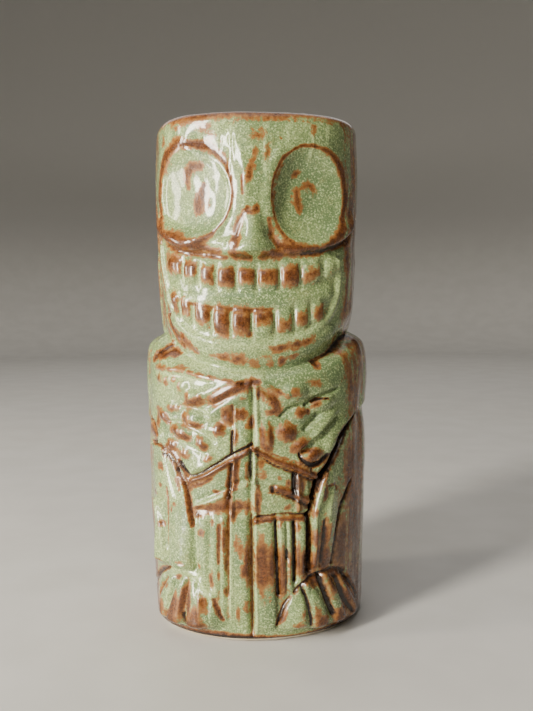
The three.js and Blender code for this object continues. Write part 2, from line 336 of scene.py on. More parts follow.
def carve_nose(s):
    """A nose that widens down to its tip, and stains up the middle of the forehead."""
    down = (NOSE_TOP - s.z) / (NOSE_TOP - NOSE_TIP)
    half = 2.2 + 5.6 * np.clip(down, 0, 1)
    body = domed((s.u + 0.2 - 0.6 * np.clip(down, 0, 1)) / half) ** 1.4
    s.height += NOSE_RISE * body * band(down, -0.04, 0.7, 0.93, 1.03)
    s.stroke([(-2.2, 146, 0.9), (-4.6, 142.4, 1.3), (-6, 138.2, 1.4), (-6.6, 133.4, 1.5)],
             height=-0.15, brown=0.8)
    s.stroke([(5, 142.4, 0.7), (6, 138.6, 1.3), (7.8, 134.6, 1.8), (10.6, 131.8, 1.8)], height=-0.15,
             brown=0.8)
    s.oval(-2.6, 144.8, 1.6, 1, 0.2, tilt=-20, brown=1)
    s.oval(0.4, 145.6, 1.1, 1.6, 0.2, tilt=-10, brown=0.95)
    s.stroke([(-7.4, 130.8, 1.2), (-4, 130.2, 1.3), (-1.6, 129.6, 0.8)], brown=0.95)
    s.stroke([(1.6, 129.8, 0.8), (4.4, 130.6, 1.4), (8.4, 131, 1.8)], brown=0.95)
    s.stroke([(-3.9, 150.6), (-4, 153), (-4.1, 156.4)], 0.5, -0.1, brown=0.95)
    for u, low, high in [(-11.4, 165, 169.4), (-8.4, 157, 168), (-7.2, 161, 174)]:
        s.line([(u, low), (u - 0.1, high)], 0.45, -0.16, brown=0.42)
    s.stroke([(5.2, 140), (4.8, 146), (4.6, 152), (5.8, 159), (9, 165)], 2.6, 0.3)
    s.stains([
        (-1.6, 157.4, 1.5, 4.6, 0.66), (0.2, 163.6, 1.2, 3.4, 0.66), (1.4, 169.4, 2.6, 2.6, 0.58),
        (4.4, 164, 1.4, 3.6, 0.56), (9.4, 168.6, 0.7, 0.8, 0.75),
    ], 0.05, tilt=-8)


# The bridge of the nose at each height: u of its crest, width of its flank, how proud it stands.
BRIDGE_CREST = [
    (131, -6.6), (136, -6.4), (140, -5.2), (144, -3.4), (150, -2.8), (157, -2.9), (164, -4.2),
    (168, -6), (178, -7),
]
BRIDGE_WIDTH = [
    (131, 11.5), (134, 10.5), (137, 5), (144, 4.4), (150, 4.2), (156, 4.6), (160, 5.8), (164, 8.6),
    (168, 11.6), (178, 11.6),
]
BRIDGE_RISE = [
    (129.8, 0), (131.6, 1.7), (138, 1.8), (157, 1.8), (164, 1.7), (168, 1.25), (173, 0.75),
    (178, 0.35),
]


def bridge_swell(u, z):
    """A nearly flat flank climbs from the -X socket to a crest, and fans out above and below."""
    crest = profile(BRIDGE_CREST, z)
    width = profile(BRIDGE_WIDTH, z)
    above_brow = smoothstep(z, 129.8, 131.6)
    down = np.clip(crest - u, 0, width)
    facet = profile(BRIDGE_RISE, z) - (0.47 * down - 0.012 * down ** 2) * above_brow
    beyond = 1 - smoothstep(crest - u, width, width + 9)
    far_reach = np.interp(z, [150, 164], [15, 27])
    far_side = 1 - smoothstep(u, crest + 1.0, crest + far_reach)
    lip_fade = 1 - 0.8 * smoothstep(z, 167, LIP_CENTRE_Z)
    return facet * beyond * far_side * lip_fade - 0.4 * smoothstep(z, 128, 134)


def carve_forehead(s):
    """Thin vertical cuts run down from the lip, and the glaze breaks brown just under it."""
    for u, low, high in [(-31.5, 168, 175), (-25.6, 168, 176), (-19, 169, 177), (-13.4, 170.5, 178),
                         (-8.4, 166, 178), (3.8, 158, 178), (12.4, 168, 178), (21, 163, 177),
                         (27, 168, 177)]:
        s.line([(u, low), (u + 0.5, high)], 0.7, 0.22, pale=0.75)
        s.line([(u + 1.2, low + 1), (u + 1.6, high)], 0.6, -0.1)
    s.stains([
        (-17, 174.4, 3, 3, 0.7), (-7, 176.4, 5.4, 2.4, 0.86), (5, 176.6, 4, 1.5, 0.8),
        (21.8, 172.6, 1.3, 2.6, 0.72), (26, 175.8, 4.4, 1.6, 0.7), (-27, 174.6, 3.4, 1.4, 0.72),
        (-33.4, 163, 1, 5, 0.5), (-14.6, 170.4, 2.2, 2, 0.55), (13.6, 175.8, 3.6, 1.2, 0.6),
        (-35, 170, 1.6, 3, 0.55),
    ], 0.05)


BROW = [
    (-42, 143), (-38, 139.4), (-34, 137), (-28, 134.2), (-20, 132.4), (-10, 130.8), (-2, 129.8),
    (4, 129.8), (10, 130.6), (17, 131.6), (24, 132.6), (30, 134.4), (36, 137.6), (42, 142),
]


def carve_brow(s):
    """One edge sweeps under both sockets and the nose, and overhangs the muzzle."""
    s.ledge(BROW, 1.6, 8.0, 1.3)
    s.stroke([(-42, 144.6, 1.6), (-38, 141, 2.4), (-34, 138.4, 2.8), (-29, 136.2, 2.6),
              (-24, 134.8, 2), (-18, 133.2, 1.1), (-12, 132, 0.9)], height=0.3, brown=0.96)
    s.stroke([(-34, 135.6), (-28, 133), (-20, 131.4), (-10, 129.9)], 0.8, brown=1)
    # A painted highlight, pale, along the lit face of the brow under the -X socket.
    s.stroke([(-20, 135.8), (-15, 135.2), (-10.4, 134.4)], 1.6, 0.5, pale=0.6)
    s.stroke([(7, 135.4, 1.2), (9.4, 133.4, 2.2), (14, 132.6, 2.4), (18.4, 132.6, 1.8),
              (22, 133, 1)], brown=0.95)
    # Under the +X cheek ridge, a brown cut with a painted shadow, brown-black, along it.
    s.stroke([(17, 131.2, 0.8), (23, 131.9, 0.9), (28.6, 133.4, 1.1), (34, 135.8, 1.3),
              (40, 139.6, 1)], height=-0.4, brown=0.95, dark=0.8)


# Each tooth: u of its two sides, z of the brown on it, and how strong the brown is.
UPPER_TEETH = [
    (-33, -25.4, 125.6, 131.4, 0.92), (-25.2, -19, 124.4, 128.2, 1.05),
    (-18.9, -13.2, 122.2, 127, 1), (-13.1, -6.5, 121.4, 126.2, 1), (-6.4, 0.4, 121.8, 125.8, 0.9),
    (0.5, 8.6, 121.6, 125.8, 0.9), (8.8, 16.3, 121, 126.4, 0.95), (16.4, 24.4, 121.4, 127.4, 0.62),
    (24.6, 31, 122, 127.6, 0.42),
]
LOWER_TEETH = [
    (-30.6, -27, 113, 118.4, 0.92), (-26.8, -21.6, 111.4, 116, 0.95),
    (-21.4, -14.9, 108.6, 113.6, 0.98), (-14.7, -8.5, 104.4, 112.6, 0.96),
    (-8.3, -1.4, 105, 112.2, 0.9), (-1.2, 6.6, 107.8, 112.2, 0.88), (6.9, 13.6, 104.6, 109.6, 0.72),
    (13.8, 19.7, 106.8, 112.4, 0.78), (19.9, 25.6, 109.2, 114, 0.68),
]


def carve_teeth(s, teeth, top, bottom, rise):
    """Each tooth is a pillow, and the glaze breaks brown on its upper part."""
    for left, right, brown_low, brown_high, strength in teeth:
        middle, half = (left + right) / 2, (right - left) / 2 - 0.1
        tall = (top(middle) - bottom(middle)) / 2
        lean = top(s.u) - top(middle)
        across = np.abs(s.u - middle) / half
        along = np.abs(s.z - lean - (top(middle) + bottom(middle)) / 2) / tall
        d = (across ** 2.8 + along ** 2.8) ** (1 / 2.8)
        near = d < 1
        s.height[near] += rise * np.sqrt(np.clip(1 - d[near] ** 2.1, 0, 1))
        brown_tall = (brown_high - brown_low) / 2
        along = np.abs(s.z - lean - (brown_high + brown_low) / 2) / (brown_tall + 0.3)
        d = ((0.9 * across) ** 3 + along ** 3) ** (1 / 3)
        near = d < 2
        s.tint(near, brown=(strength, ramp(d[near])))
    for (_, left, *_), (right, *_) in zip(teeth, teeth[1:]):
        gap = (left + right) / 2
        ends = [(gap, bottom(gap) - 0.4), (gap, top(gap) + 0.6)]
        s.line([(gap + 0.2, z) for _, z in ends], 1.1, -0.5)
        s.wipe("brown", ends, 0.45)
        s.line(ends, 0.55, 0.35, pale=0.95)


def carve_mouth(s):
    """A wide grin: a swollen muzzle with two rows of teeth inside one lip."""
    s.oval(-0.5, 116.5, 35, 16.5, 0.9)
    s.stroke([(-33, 134.2), (-26, 131.6), (-16, 129.6), (-4, 128.8), (8, 128.8), (18, 129.8),
              (27, 131.4)], 2.2, 0.7)
    carve_teeth(s, UPPER_TEETH, lambda u: 126.8 + 0.0044 * u * u,
                lambda u: 119 + 0.0058 * u * u, 1.5)
    s.stroke([(-31, 117.4), (-20, 116.2), (-8, 116.2), (4, 116), (15, 116), (27, 117.6)], 3.8, 1)
    carve_teeth(s, LOWER_TEETH, lambda u: 112.8 + 0.0054 * u * u - 0.02 * u,
                lambda u: 103.9 + 0.0078 * u * u, 1.4)
    s.stroke([(-27, 116.4), (-20, 114.4), (-12, 113.2), (0, 112.7), (6, 112.7)], 0.7, -0.5, brown=0.7)
    # The lip runs round the mouth from corner to corner.
    s.stroke([(-38.4, 135, 1.2), (-37.2, 130, 1.4), (-35.6, 125, 1.5), (-34, 119.6, 1.5),
              (-32.2, 114, 1.5), (-29, 109.2, 1.5), (-24.4, 105.4, 1.6), (-18, 103, 1.7),
              (-10, 101.8, 1.7), (0, 101.2, 1.6), (9, 101.8, 1.7), (17, 103.8, 1.8),
              (24, 107, 2), (28.6, 111.2, 2.2), (31, 117, 2), (31.6, 123, 1.8),
              (30.4, 129, 1.4)], height=1.1, pale=0.55)
    # Brown cuts outside the corner of the mouth and under the lip; the first two also carry painted
    # shade, brown-black.
    s.stroke([(-41, 137, 1.4), (-40.2, 131, 1.6), (-38.4, 125.6, 1.3), (-36.4, 120.6, 1.3),
              (-35, 116.6, 1)], height=-1.1, brown=1, dark=0.6)
    s.stroke([(-34.2, 115.4), (-34.4, 111.6)], 1, -0.6, brown=0.95, dark=0.55)
    s.stroke([(-43, 128), (-41.6, 120), (-39.6, 110), (-38.4, 103)], 1.6, brown=0.6)
    s.stroke([(-36, 110.4, 0.9), (-33.4, 106.4, 1.4), (-30, 103.6, 1.6), (-27, 100.4, 1.1)],
             height=-0.5, brown=0.86)
    s.stroke([(-27.6, 104.4, 0.9), (-24, 101.4, 1.7), (-20.8, 98.6, 1)], height=-0.3, brown=0.84)
    s.oval(-2.2, 104.4, 1.2, 1.2, brown=0.85)


def carve_chin(s):
    """The jaw swells forward, with a ridge under the lip and dashes of thin glaze on it."""
    s.height += 2.6 * soft(s.u / 40) * band(s.z, 84, 94, 100, 118)
    s.stroke([(-26, 101), (-20, 99.2), (-14, 98.6), (-4, 97.4), (8, 97.8), (20, 100.6), (28, 104)],
             3.6, 1, shape=plump)
    s.stroke([(-30, 103), (-20, 97.6), (-10, 95.6), (4, 95), (16, 97), (28, 101)], 1.5, -0.3)
    s.stains([
        (-11, 97.2, 4.4, 1.1, -4, 0.78), (-5.6, 96.2, 4, 1.9, -8, 0.8),
        (-1.2, 95.2, 2.6, 1.6, -10, 0.7), (3.4, 97.2, 3, 0.9, 5, 0.62), (8, 99.9, 4.6, 1.4, 8, 0.82),
        (14, 101, 4.6, 1.7, 12, 0.84), (19, 102.2, 3.4, 1.3, 14, 0.7), (9.4, 95.6, 1.6, 1.2, 25, 0.8),
        (13.4, 97, 1.8, 0.9, 25, 0.72), (5, 95, 2, 1.4, 0, 0.58), (-9, 91.6, 0.9, 0.9, 0, 0.85),
    ], 0.1)


# ---- The body ----

def jaw_line(u):
    """Height of the line where the head meets the body."""
    return np.minimum(JAW_HIGH, CHIN_LOW + JAW_CURVE * u * u)


def carve_collar(s):
    """Under the jaw: pockets at each side with painted shade, and a row of brown dashes round the neck.
    """
    s.stroke([(21, 94.6, 0.6), (25, 96, 0.4), (31, 98, 0.6), (35, 100, 0.9), (39, 102, 0.7),
              (45, 103.8, 0.8)], height=-0.8, brown=0.8, dark=0.85)
    s.oval(21.8, 93.8, 1.2, 1.3, -0.5, tilt=-30, brown=0.95, dark=0.6)
    s.stroke([(-40, 95.6, 1.2), (-37.4, 98, 1.6), (-36.2, 101, 1.2)], height=-0.6, brown=1, dark=0.6)
    s.stroke([(-36, 96.6, 1.4), (-33, 98, 1.5), (-30.4, 97.2, 0.9)], height=-0.5, brown=0.95, dark=0.4)
    # Pale lines round the -X side of the collar: thick glaze, and painted highlight along the ridge
    # under the jaw.
    s.stroke([(-38.6, 96), (-35, 101.4)], 0.7, 0.7, pale=0.9)
    s.stroke([(-38, 102.4), (-30, 98), (-24, 95.2), (-16, 93.3), (-8, 91.6), (2, 90.8)], 1.3, 0.6,
             pale=0.7)
    s.stroke([(-37, 93), (-30, 92.6), (-25, 92.6), (-19, 91.2), (-12, 89.8), (-5, 89)], 1.5,
             0.6)
    s.stroke([(-37, 91.2), (-30, 90.6), (-24, 90), (-16, 88.6)], 0.9, -0.4, pale=0.7)
    s.stains([
        (-34, 93, 3.4, 1.2, 0, 0.84), (-30, 92.6, 2, 1, -10, 0.8), (-26, 92.8, 2.6, 1.3, 0, 0.86),
        (-22, 91.8, 1.8, 1, -20, 0.8), (-18.8, 91, 2.2, 1, -12, 0.8),
        (-14.6, 90.2, 2, 0.7, -12, 0.7), (-8.6, 89.2, 2.8, 0.8, -8, 0.8),
        (-35, 89.2, 2.2, 1.6, -10, 0.78), (-31.6, 88.4, 1.4, 2, 0, 0.72),
        (-28.4, 89.2, 1.8, 1.6, 0, 0.72),
    ], 0.1)
    # A cut in the middle, with painted shade, brown-black, in it.
    s.line([(-6, 88.6, 0.7), (-3.4, 88.4, 1.1), (-1.4, 88.9, 1.4), (0.8, 89, 0.8)], height=-0.5,
           brown=1.0, dark=0.55)


HAND_BUMPS = [  # u, z, half width, half height, rise, tilt
    (-20.6, 83.4, 3.6, 3, 1.6, 0), (-25.2, 87, 3, 2.6, 0.9, 0), (-21, 76.2, 4, 3, 1.8, -15),
    (-25.2, 71.6, 3.8, 2.5, 1.5, -25), (-29.4, 79.4, 3.2, 2.2, 0.9, 5),
    (-33.6, 76.4, 3, 1.8, 0.9, -30), (-28.6, 67, 2.6, 2, 1, -40),
    (-17.6, 68.2, 3.2, 2.3, 1.3, -40), (-12.4, 72.8, 2.8, 2.7, 1.2, 0),
    (-23.8, 64.4, 2.8, 2, 0.9, -30), (-15.6, 63.2, 2.2, 1.6, 0.8, 20), (-33.6, 89, 3.4, 2.2, 0.7, 0),
    (-9.4, 77.4, 2.2, 3, 0.9, 0), (-5.2, 78, 2.4, 2.4, 0.9, 0), (-16, 73.2, 2, 2, 0.7, 0),
    (12.4, 84.6, 5, 4.2, 1.8, 15), (14.6, 77.6, 3.6, 3, 1.3, 25), (9.8, 71.8, 3.8, 3.4, 1.5, 10),
    (14.6, 67.2, 3.8, 2.3, 1.3, 25), (3, 70.6, 2.8, 5.8, 1.5, 5), (4.2, 81, 3.6, 4.6, 1.1, 15),
    (22.8, 80.6, 5.2, 2.8, 1.6, 15), (25, 76, 4.6, 2.4, 1.2, 30), (21, 70.8, 5, 2.2, 1.2, 45),
    (17.8, 63.4, 4.8, 2.8, 1.6, 20), (25, 67, 3.6, 2.3, 1, 50), (-4.6, 71, 2.8, 4.8, 1, 0),
]
HAND_STAINS = [  # u, z, half width, half height, tilt, strength
    (-20.8, 81.8, 3.4, 1.5, 10, 0.88), (-22.8, 83.4, 1.3, 2.2, 0, 0.8), (-18.4, 83, 1.2, 1.8, 0, 0.78),
    (-25.4, 86.6, 1.5, 2.4, 0, 0.68), (-23.6, 76.2, 1.4, 2.6, -10, 0.78),
    (-20.4, 74.2, 3, 1.3, -10, 0.85), (-26.8, 71.4, 2.2, 1.8, -40, 0.95),
    (-24, 70.2, 2.6, 1.2, -15, 0.9), (-12.2, 73, 2, 2.2, 0, 1), (-28.6, 66.8, 1.4, 2, 40, 0.98),
    (-17.2, 67.6, 1.5, 2.6, 35, 0.92), (-23.8, 64.2, 2.2, 1.5, -30, 0.86),
    (-15.4, 63.2, 1.6, 1.1, 25, 0.9), (-29, 79.4, 2.6, 1.1, 5, 0.72), (-32.8, 76.2, 2.8, 1.1, -40, 1),
    (-36.4, 75.4, 1.2, 3.4, 0, 0.8), (-37.6, 78.6, 1, 1, 0, 0.7), (-5.2, 78.2, 2.2, 1.9, 0, 0.86),
    (-9.6, 77.2, 1.6, 2.9, 8, 0.95), (5.4, 82.4, 2, 3.6, 30, 0.9), (5.6, 78.8, 3.2, 1.4, 10, 0.86),
    (2.6, 84.4, 1.2, 2.4, 20, 0.7), (1.9, 70.4, 1, 5, 4, 0.92), (4.6, 69.6, 1, 5, 2, 0.98),
    (3.2, 66.6, 1.8, 1.4, 0, 0.9), (9.8, 71.6, 2.9, 2.6, 0, 1), (14.2, 67.4, 3.2, 1.6, 25, 0.98),
    (14.8, 78.2, 1.8, 1.4, 30, 0.9), (17, 78.4, 1.2, 1.4, 0, 0.75), (12.6, 85, 1.6, 1.8, 0, 0.66),
    (7.4, 85.4, 3.4, 0.8, -30, 0.72), (20.2, 80.8, 2, 0.9, 20, 0.85),
    (18.8, 63.6, 3, 1.9, 30, 0.95), (20, 88, 2.6, 1.2, -10, 0.6), (-1.9, 75.2, 1.4, 2, 0, 1),
    (0.8, 85.4, 0.8, 1.6, 0, 0.95), (-7, 70, 1, 2.6, 0, 0.85), (-4.4, 83.6, 1.2, 0.8, 0, 0.6),
]


def carve_hands(s):
    """Two hands meet on the chest: their knuckles are rows of soft bumps with thin glaze."""
    for u, z, half_u, half_z, rise, tilt in HAND_BUMPS:
        s.oval(u, z, half_u * 1.1, half_z * 1.1, rise * 0.95, tilt=tilt, shape=knoll)
    s.stains(HAND_STAINS)
    # The raised edges that slope away from the breastbone.
    s.stroke([(-2.4, 88.2), (-8, 86.2), (-14, 82.8)], 1.8, 1, brown=0.92)
    s.stroke([(-3.4, 84.8), (-9, 81.6), (-15, 77.8)], 2.9, 1.3)
    s.stroke([(-7, 88.2), (-12, 86.4), (-17, 84.4)], 3.4, 1)
    s.stroke([(1.4, 88.6), (5, 86.4), (10, 84.4)], 1.5, 0.9)
    s.stroke([(1, 86.4), (3.2, 83.6)], 0.9, 0.7, pale=0.8)
    s.stroke([(-26, 80.4), (-20, 79.6), (-14, 76.6), (-10, 73.6)], 1, -0.5, pale=0.5)
    s.stroke([(-30, 74.6), (-25, 74.4), (-19, 72), (-14, 68.8)], 1, -0.6, pale=0.5)
    s.stroke([(-29, 70), (-24, 67.8), (-18, 65)], 1, -0.5, pale=0.4)
    # Cuts between the fingers of the hand on the +X side, their shade painted dark.
    s.stroke([(8, 77.2, 0.8), (9.8, 78.8, 1), (12, 80.4, 0.9), (14.6, 80.8, 0.7)], height=-1.1,
             dark=0.5)
    s.stroke([(16.6, 80.8, 1), (18.4, 82, 1.2), (21, 83, 1.1), (24, 84, 1.1), (28.6, 85.6, 0.9)],
             height=-1.3, dark=0.42)
    s.stroke([(18.8, 81.4, 0.4), (21, 82.4, 0.5), (24.6, 82.4, 0.3)], height=-0.5, brown=0.9, dark=0.85)
    s.stroke([(16.4, 72.8), (18.6, 74.6), (21, 77)], 1.7, -1.3, dark=0.3)
    s.stroke([(15.6, 65.4), (19.6, 68.4), (24, 71.6), (29, 76)], 1.8, -1.4, dark=0.32)
    s.stroke([(13.8, 64.8, 0.4), (14.6, 62.6, 0.6), (17, 60.8, 0.8), (20, 60.6, 1), (24, 63.2, 0.7)],
             height=-1.3, brown=0.9, dark=1.0)
    s.stroke([(15, 65), (17.6, 65.4), (20.6, 65.2)], 0.5, brown=0.9, dark=0.4)
    # Cuts up and beside the breastbone carry painted shade, brown-black; the pale lines on their lit
    # sides are painted highlight over thick glaze.
    s.line([(-1.5, 87), (-1.4, 76), (-1.8, 68)], 1, -1.4, dark=0.5)
    s.line([(-0.1, 88), (0.1, 68)], 1.3, 1.1, pale=0.95)
    s.line([(-7.9, 81), (-8, 75)], 0.5, -0.9, brown=0.9, dark=0.3)
    s.line([(-6.9, 80), (-7, 66)], 0.9, 0.7, pale=0.85)
    s.line([(-8, 72.4), (-8.1, 65)], 0.6, -1.1, brown=0.8, dark=0.95)


# Lower edge of the hands and forearms, from elbow to elbow.
FOREARM_EDGE = [
    (-114, 78), (-60, 78), (-46, 72), (-34, 65.5), (-28, 61), (-22, 56.8), (-10, 63.3), (-1, 67.4),
    (8, 62.3), (20, 56.6), (27, 63), (32, 71), (40, 76), (60, 80), (114, 78),
]


def carve_arms(s):
    """The forearms end in an edge over the belly, with rods laid along it."""
    edge = np.interp(s.u, *zip(*FOREARM_EDGE))
    step = 1.2 - 0.7 * smoothstep(np.abs(s.u), 50, 80)
    s.height += step * smoothstep(s.z, edge - 1.2, edge + 1.2)
    # The rods laid along the lower edge of the hands, each with a cut above it whose shade is painted
    # brown-black.
    s.line([(-22, 55, 1.1), (-17, 57, 1.1), (-9, 62.2, 0.8), (-1.4, 66.4, 0.7)], height=1.3,
           shape=domed, brown=1.05)
    s.line([(-21.6, 53.4, 0.7), (-18, 54.6, 0.8), (-15, 56.4, 0.6)], height=0.5, brown=0.95)
    s.stroke([(-25.2, 61.6, 0.5), (-23.4, 58.6, 0.7), (-21.4, 56.9, 0.5), (-18, 58.3, 0.5),
              (-13.4, 61.3, 0.5), (-8, 65, 0.5), (-4.6, 66.7, 0.5), (-1.8, 68, 0.7)], height=-1.2,
             brown=0.8, dark=0.95)
    s.line([(-1, 66.4, 0.7), (5.6, 62.6, 0.9), (12, 60, 1.1), (20.2, 55.8, 1)], height=1.6,
           shape=domed, brown=1.05)
    s.line([(-0.6, 64.9, 0.4), (5.4, 61, 0.65), (12, 58.2, 0.7), (19.6, 54.6, 0.7)], height=-0.8,
           brown=0.7, dark=0.7)
    s.stroke([(0, 67.4, 0.5), (6, 64.3, 0.65), (12.6, 61.8, 0.65), (18, 58.9, 0.5)], height=-0.4,
             brown=0.6, dark=0.5)
    # The gap between arm and side is deep, with painted shade in it: nearly black on the +X side,
    # brown-black on the -X side.
    s.stroke([(41, 76.8, 0.5), (38, 75.2, 0.9), (34.6, 72.8, 1.5), (31, 69.4, 2), (28, 64.6, 2.1),
              (24.4, 59.4, 1.6), (21.4, 56, 1.2), (20, 52.4, 1.1), (18.7, 48.2, 0.8),
              (17.9, 43.6, 0.6)], height=-3.4, brown=0.9, dark=1)
    s.stroke([(-46, 65, 0.7), (-38, 66, 0.9), (-33, 64.6, 1.1), (-29.2, 61, 1.2), (-27, 57, 1.1),
              (-24.8, 53, 1), (-23.4, 48, 1), (-22.6, 43.4, 0.9), (-21.8, 39.8, 0.7)], height=-1.9,
             brown=1.0, dark=0.62)
    s.stroke([(-30.6, 66.4, 0.9), (-26.4, 62, 1), (-23.8, 56.4, 0.9), (-22.6, 52, 0.6)], height=0.8,
             brown=0.95)
    s.stroke([(-36, 63.4, 0.5), (-32, 62, 0.6), (-29, 60.4, 0.6), (-28, 57.4, 0.5)], height=-0.7,
             brown=0.7, dark=0.9)
    s.stroke([(-48, 70, 2.6), (-42, 70.4, 2.4), (-38, 68.6, 1.4)], brown=0.92)
    s.stroke([(-44, 75), (-39.4, 73), (-36.4, 69.4)], 0.6, -0.6, brown=0.8, dark=0.55)
    # A ridge on the -X side, pale with a painted highlight along it.
    s.stroke([(-34, 69.4, 1.2), (-34.8, 64.6, 1.2), (-33.4, 59, 1.6), (-31, 52, 1.6), (-28.8, 48, 0.9)],
             height=0.9, pale=0.75)


def carve_belly(s):
    """Between the rods and the belt: thin uprights, sloping seams and two loose sticks."""
    s.pads([(-22, -22), (-8.7, -8.7), (-2.2, -2.2), (13, 13), (18, 18)], 46, 62, 0.7)
    # Cuts beside the uprights carry painted shade; the pale lines on the uprights, along the seams and
    # on the belt's top are painted highlight over thick glaze.
    s.line([(-2.1, 66), (-2.2, 56)], 1.1, -1.2, dark=0.72)
    s.line([(-2.3, 56), (-2.3, 45)], 0.9, -0.6, dark=0.35)
    s.line([(-0.7, 66.4), (-0.9, 45)], 1.3, 1, pale=0.9)
    s.line([(-8.4, 61.4, 0.9), (-9.1, 56, 1), (-9.3, 50, 1.1)], height=-1.2, brown=0.9, dark=0.7)
    s.line([(-7.5, 63), (-8.3, 43.6)], 0.9, 0.8, pale=0.95)
    s.line([(-6.6, 62.6), (-7.2, 53.4)], 0.9, 0.2, brown=0.88)
    s.stroke([(-20, 46.6), (-14, 49.4), (-9, 51.6)], 1.2, 1, pale=0.85)
    s.stroke([(-8, 52.6), (-4, 54.4), (-1.6, 55.8)], 1.2, 0.9, pale=0.85)
    s.stroke([(-8, 54.8), (-4, 56.2), (-2.4, 57.4)], 1.2, -0.8, dark=0.4)
    s.line([(-19, 48.8), (-14.6, 50.8), (-10, 53)], 1.2, -0.6, dark=0.25)
    s.line([(-1.2, 56), (0.4, 53.4), (1.2, 50)], 0.9, 0.7, pale=0.6)
    s.line([(-20, 44), (-9.6, 44.4), (-2.4, 44)], 0.9, 0.5, pale=0.6)
    s.stains([
        (-16, 46, 3, 1.5, 10, 0.86), (-11.8, 47, 3.4, 1.7, 25, 0.92), (-9.9, 48.4, 1.1, 3, 0, 0.95),
        (-5.6, 47.4, 3.4, 1.7, 0, 0.95), (-3.4, 46.6, 1.2, 1.8, 0, 0.9), (-7.7, 45.6, 0.9, 3.2, 0, 0.8),
        (0.3, 49, 1.1, 5, 0, 0.92), (-7.2, 59, 1, 4, 0, 0.85), (-3.1, 59, 0.9, 3.6, 0, 0.7),
        (10.6, 54.8, 1.2, 1.3, 0, 0.9), (7.4, 56.6, 1.1, 0.9, 0, 0.75), (10.6, 46.4, 1.6, 1.1, 0, 0.85),
        (-13.6, 51.8, 1.2, 0.8, 0, 0.7), (-19.4, 46.2, 2.2, 0.7, 15, 0.95),
        (-19.6, 43.8, 1.8, 1.1, 0, 0.9), (15.2, 53, 1, 3, 0, 0.92), (14.6, 46.4, 1.2, 2, 0, 0.9),
        (1.6, 62, 1.8, 2.4, 0, 0.66), (2, 57.6, 1.8, 2, 0, 0.66), (4.6, 51.6, 1.4, 0.8, 0, 0.6),
    ], 0.05)
    # Two loose sticks, sunk in and outlined in brown, with painted shade, brown-black, in the sunken
    # outline.
    s.line([(5.8, 52.9, 1.9), (12.4, 50.2, 1.8), (17.8, 46.8, 1.8)], height=-0.7, brown=0.95, dark=0.9)
    s.line([(6.6, 53.1, 1.1), (12.4, 50.9, 1), (17.4, 47.9, 1.1)], height=1.4, shape=domed, brown=0.95)
    s.wipe("dark", [(6.6, 53.1), (12.4, 50.9), (17.4, 47.9)], 0.9)
    s.line([(12.5, 57.4, 0.9), (12.5, 51.2, 1)], height=-1.1, brown=0.9, dark=1)
    s.line([(13.7, 57, 0.9), (13.8, 45, 0.9)], height=1.1, shape=domed, brown=0.72)


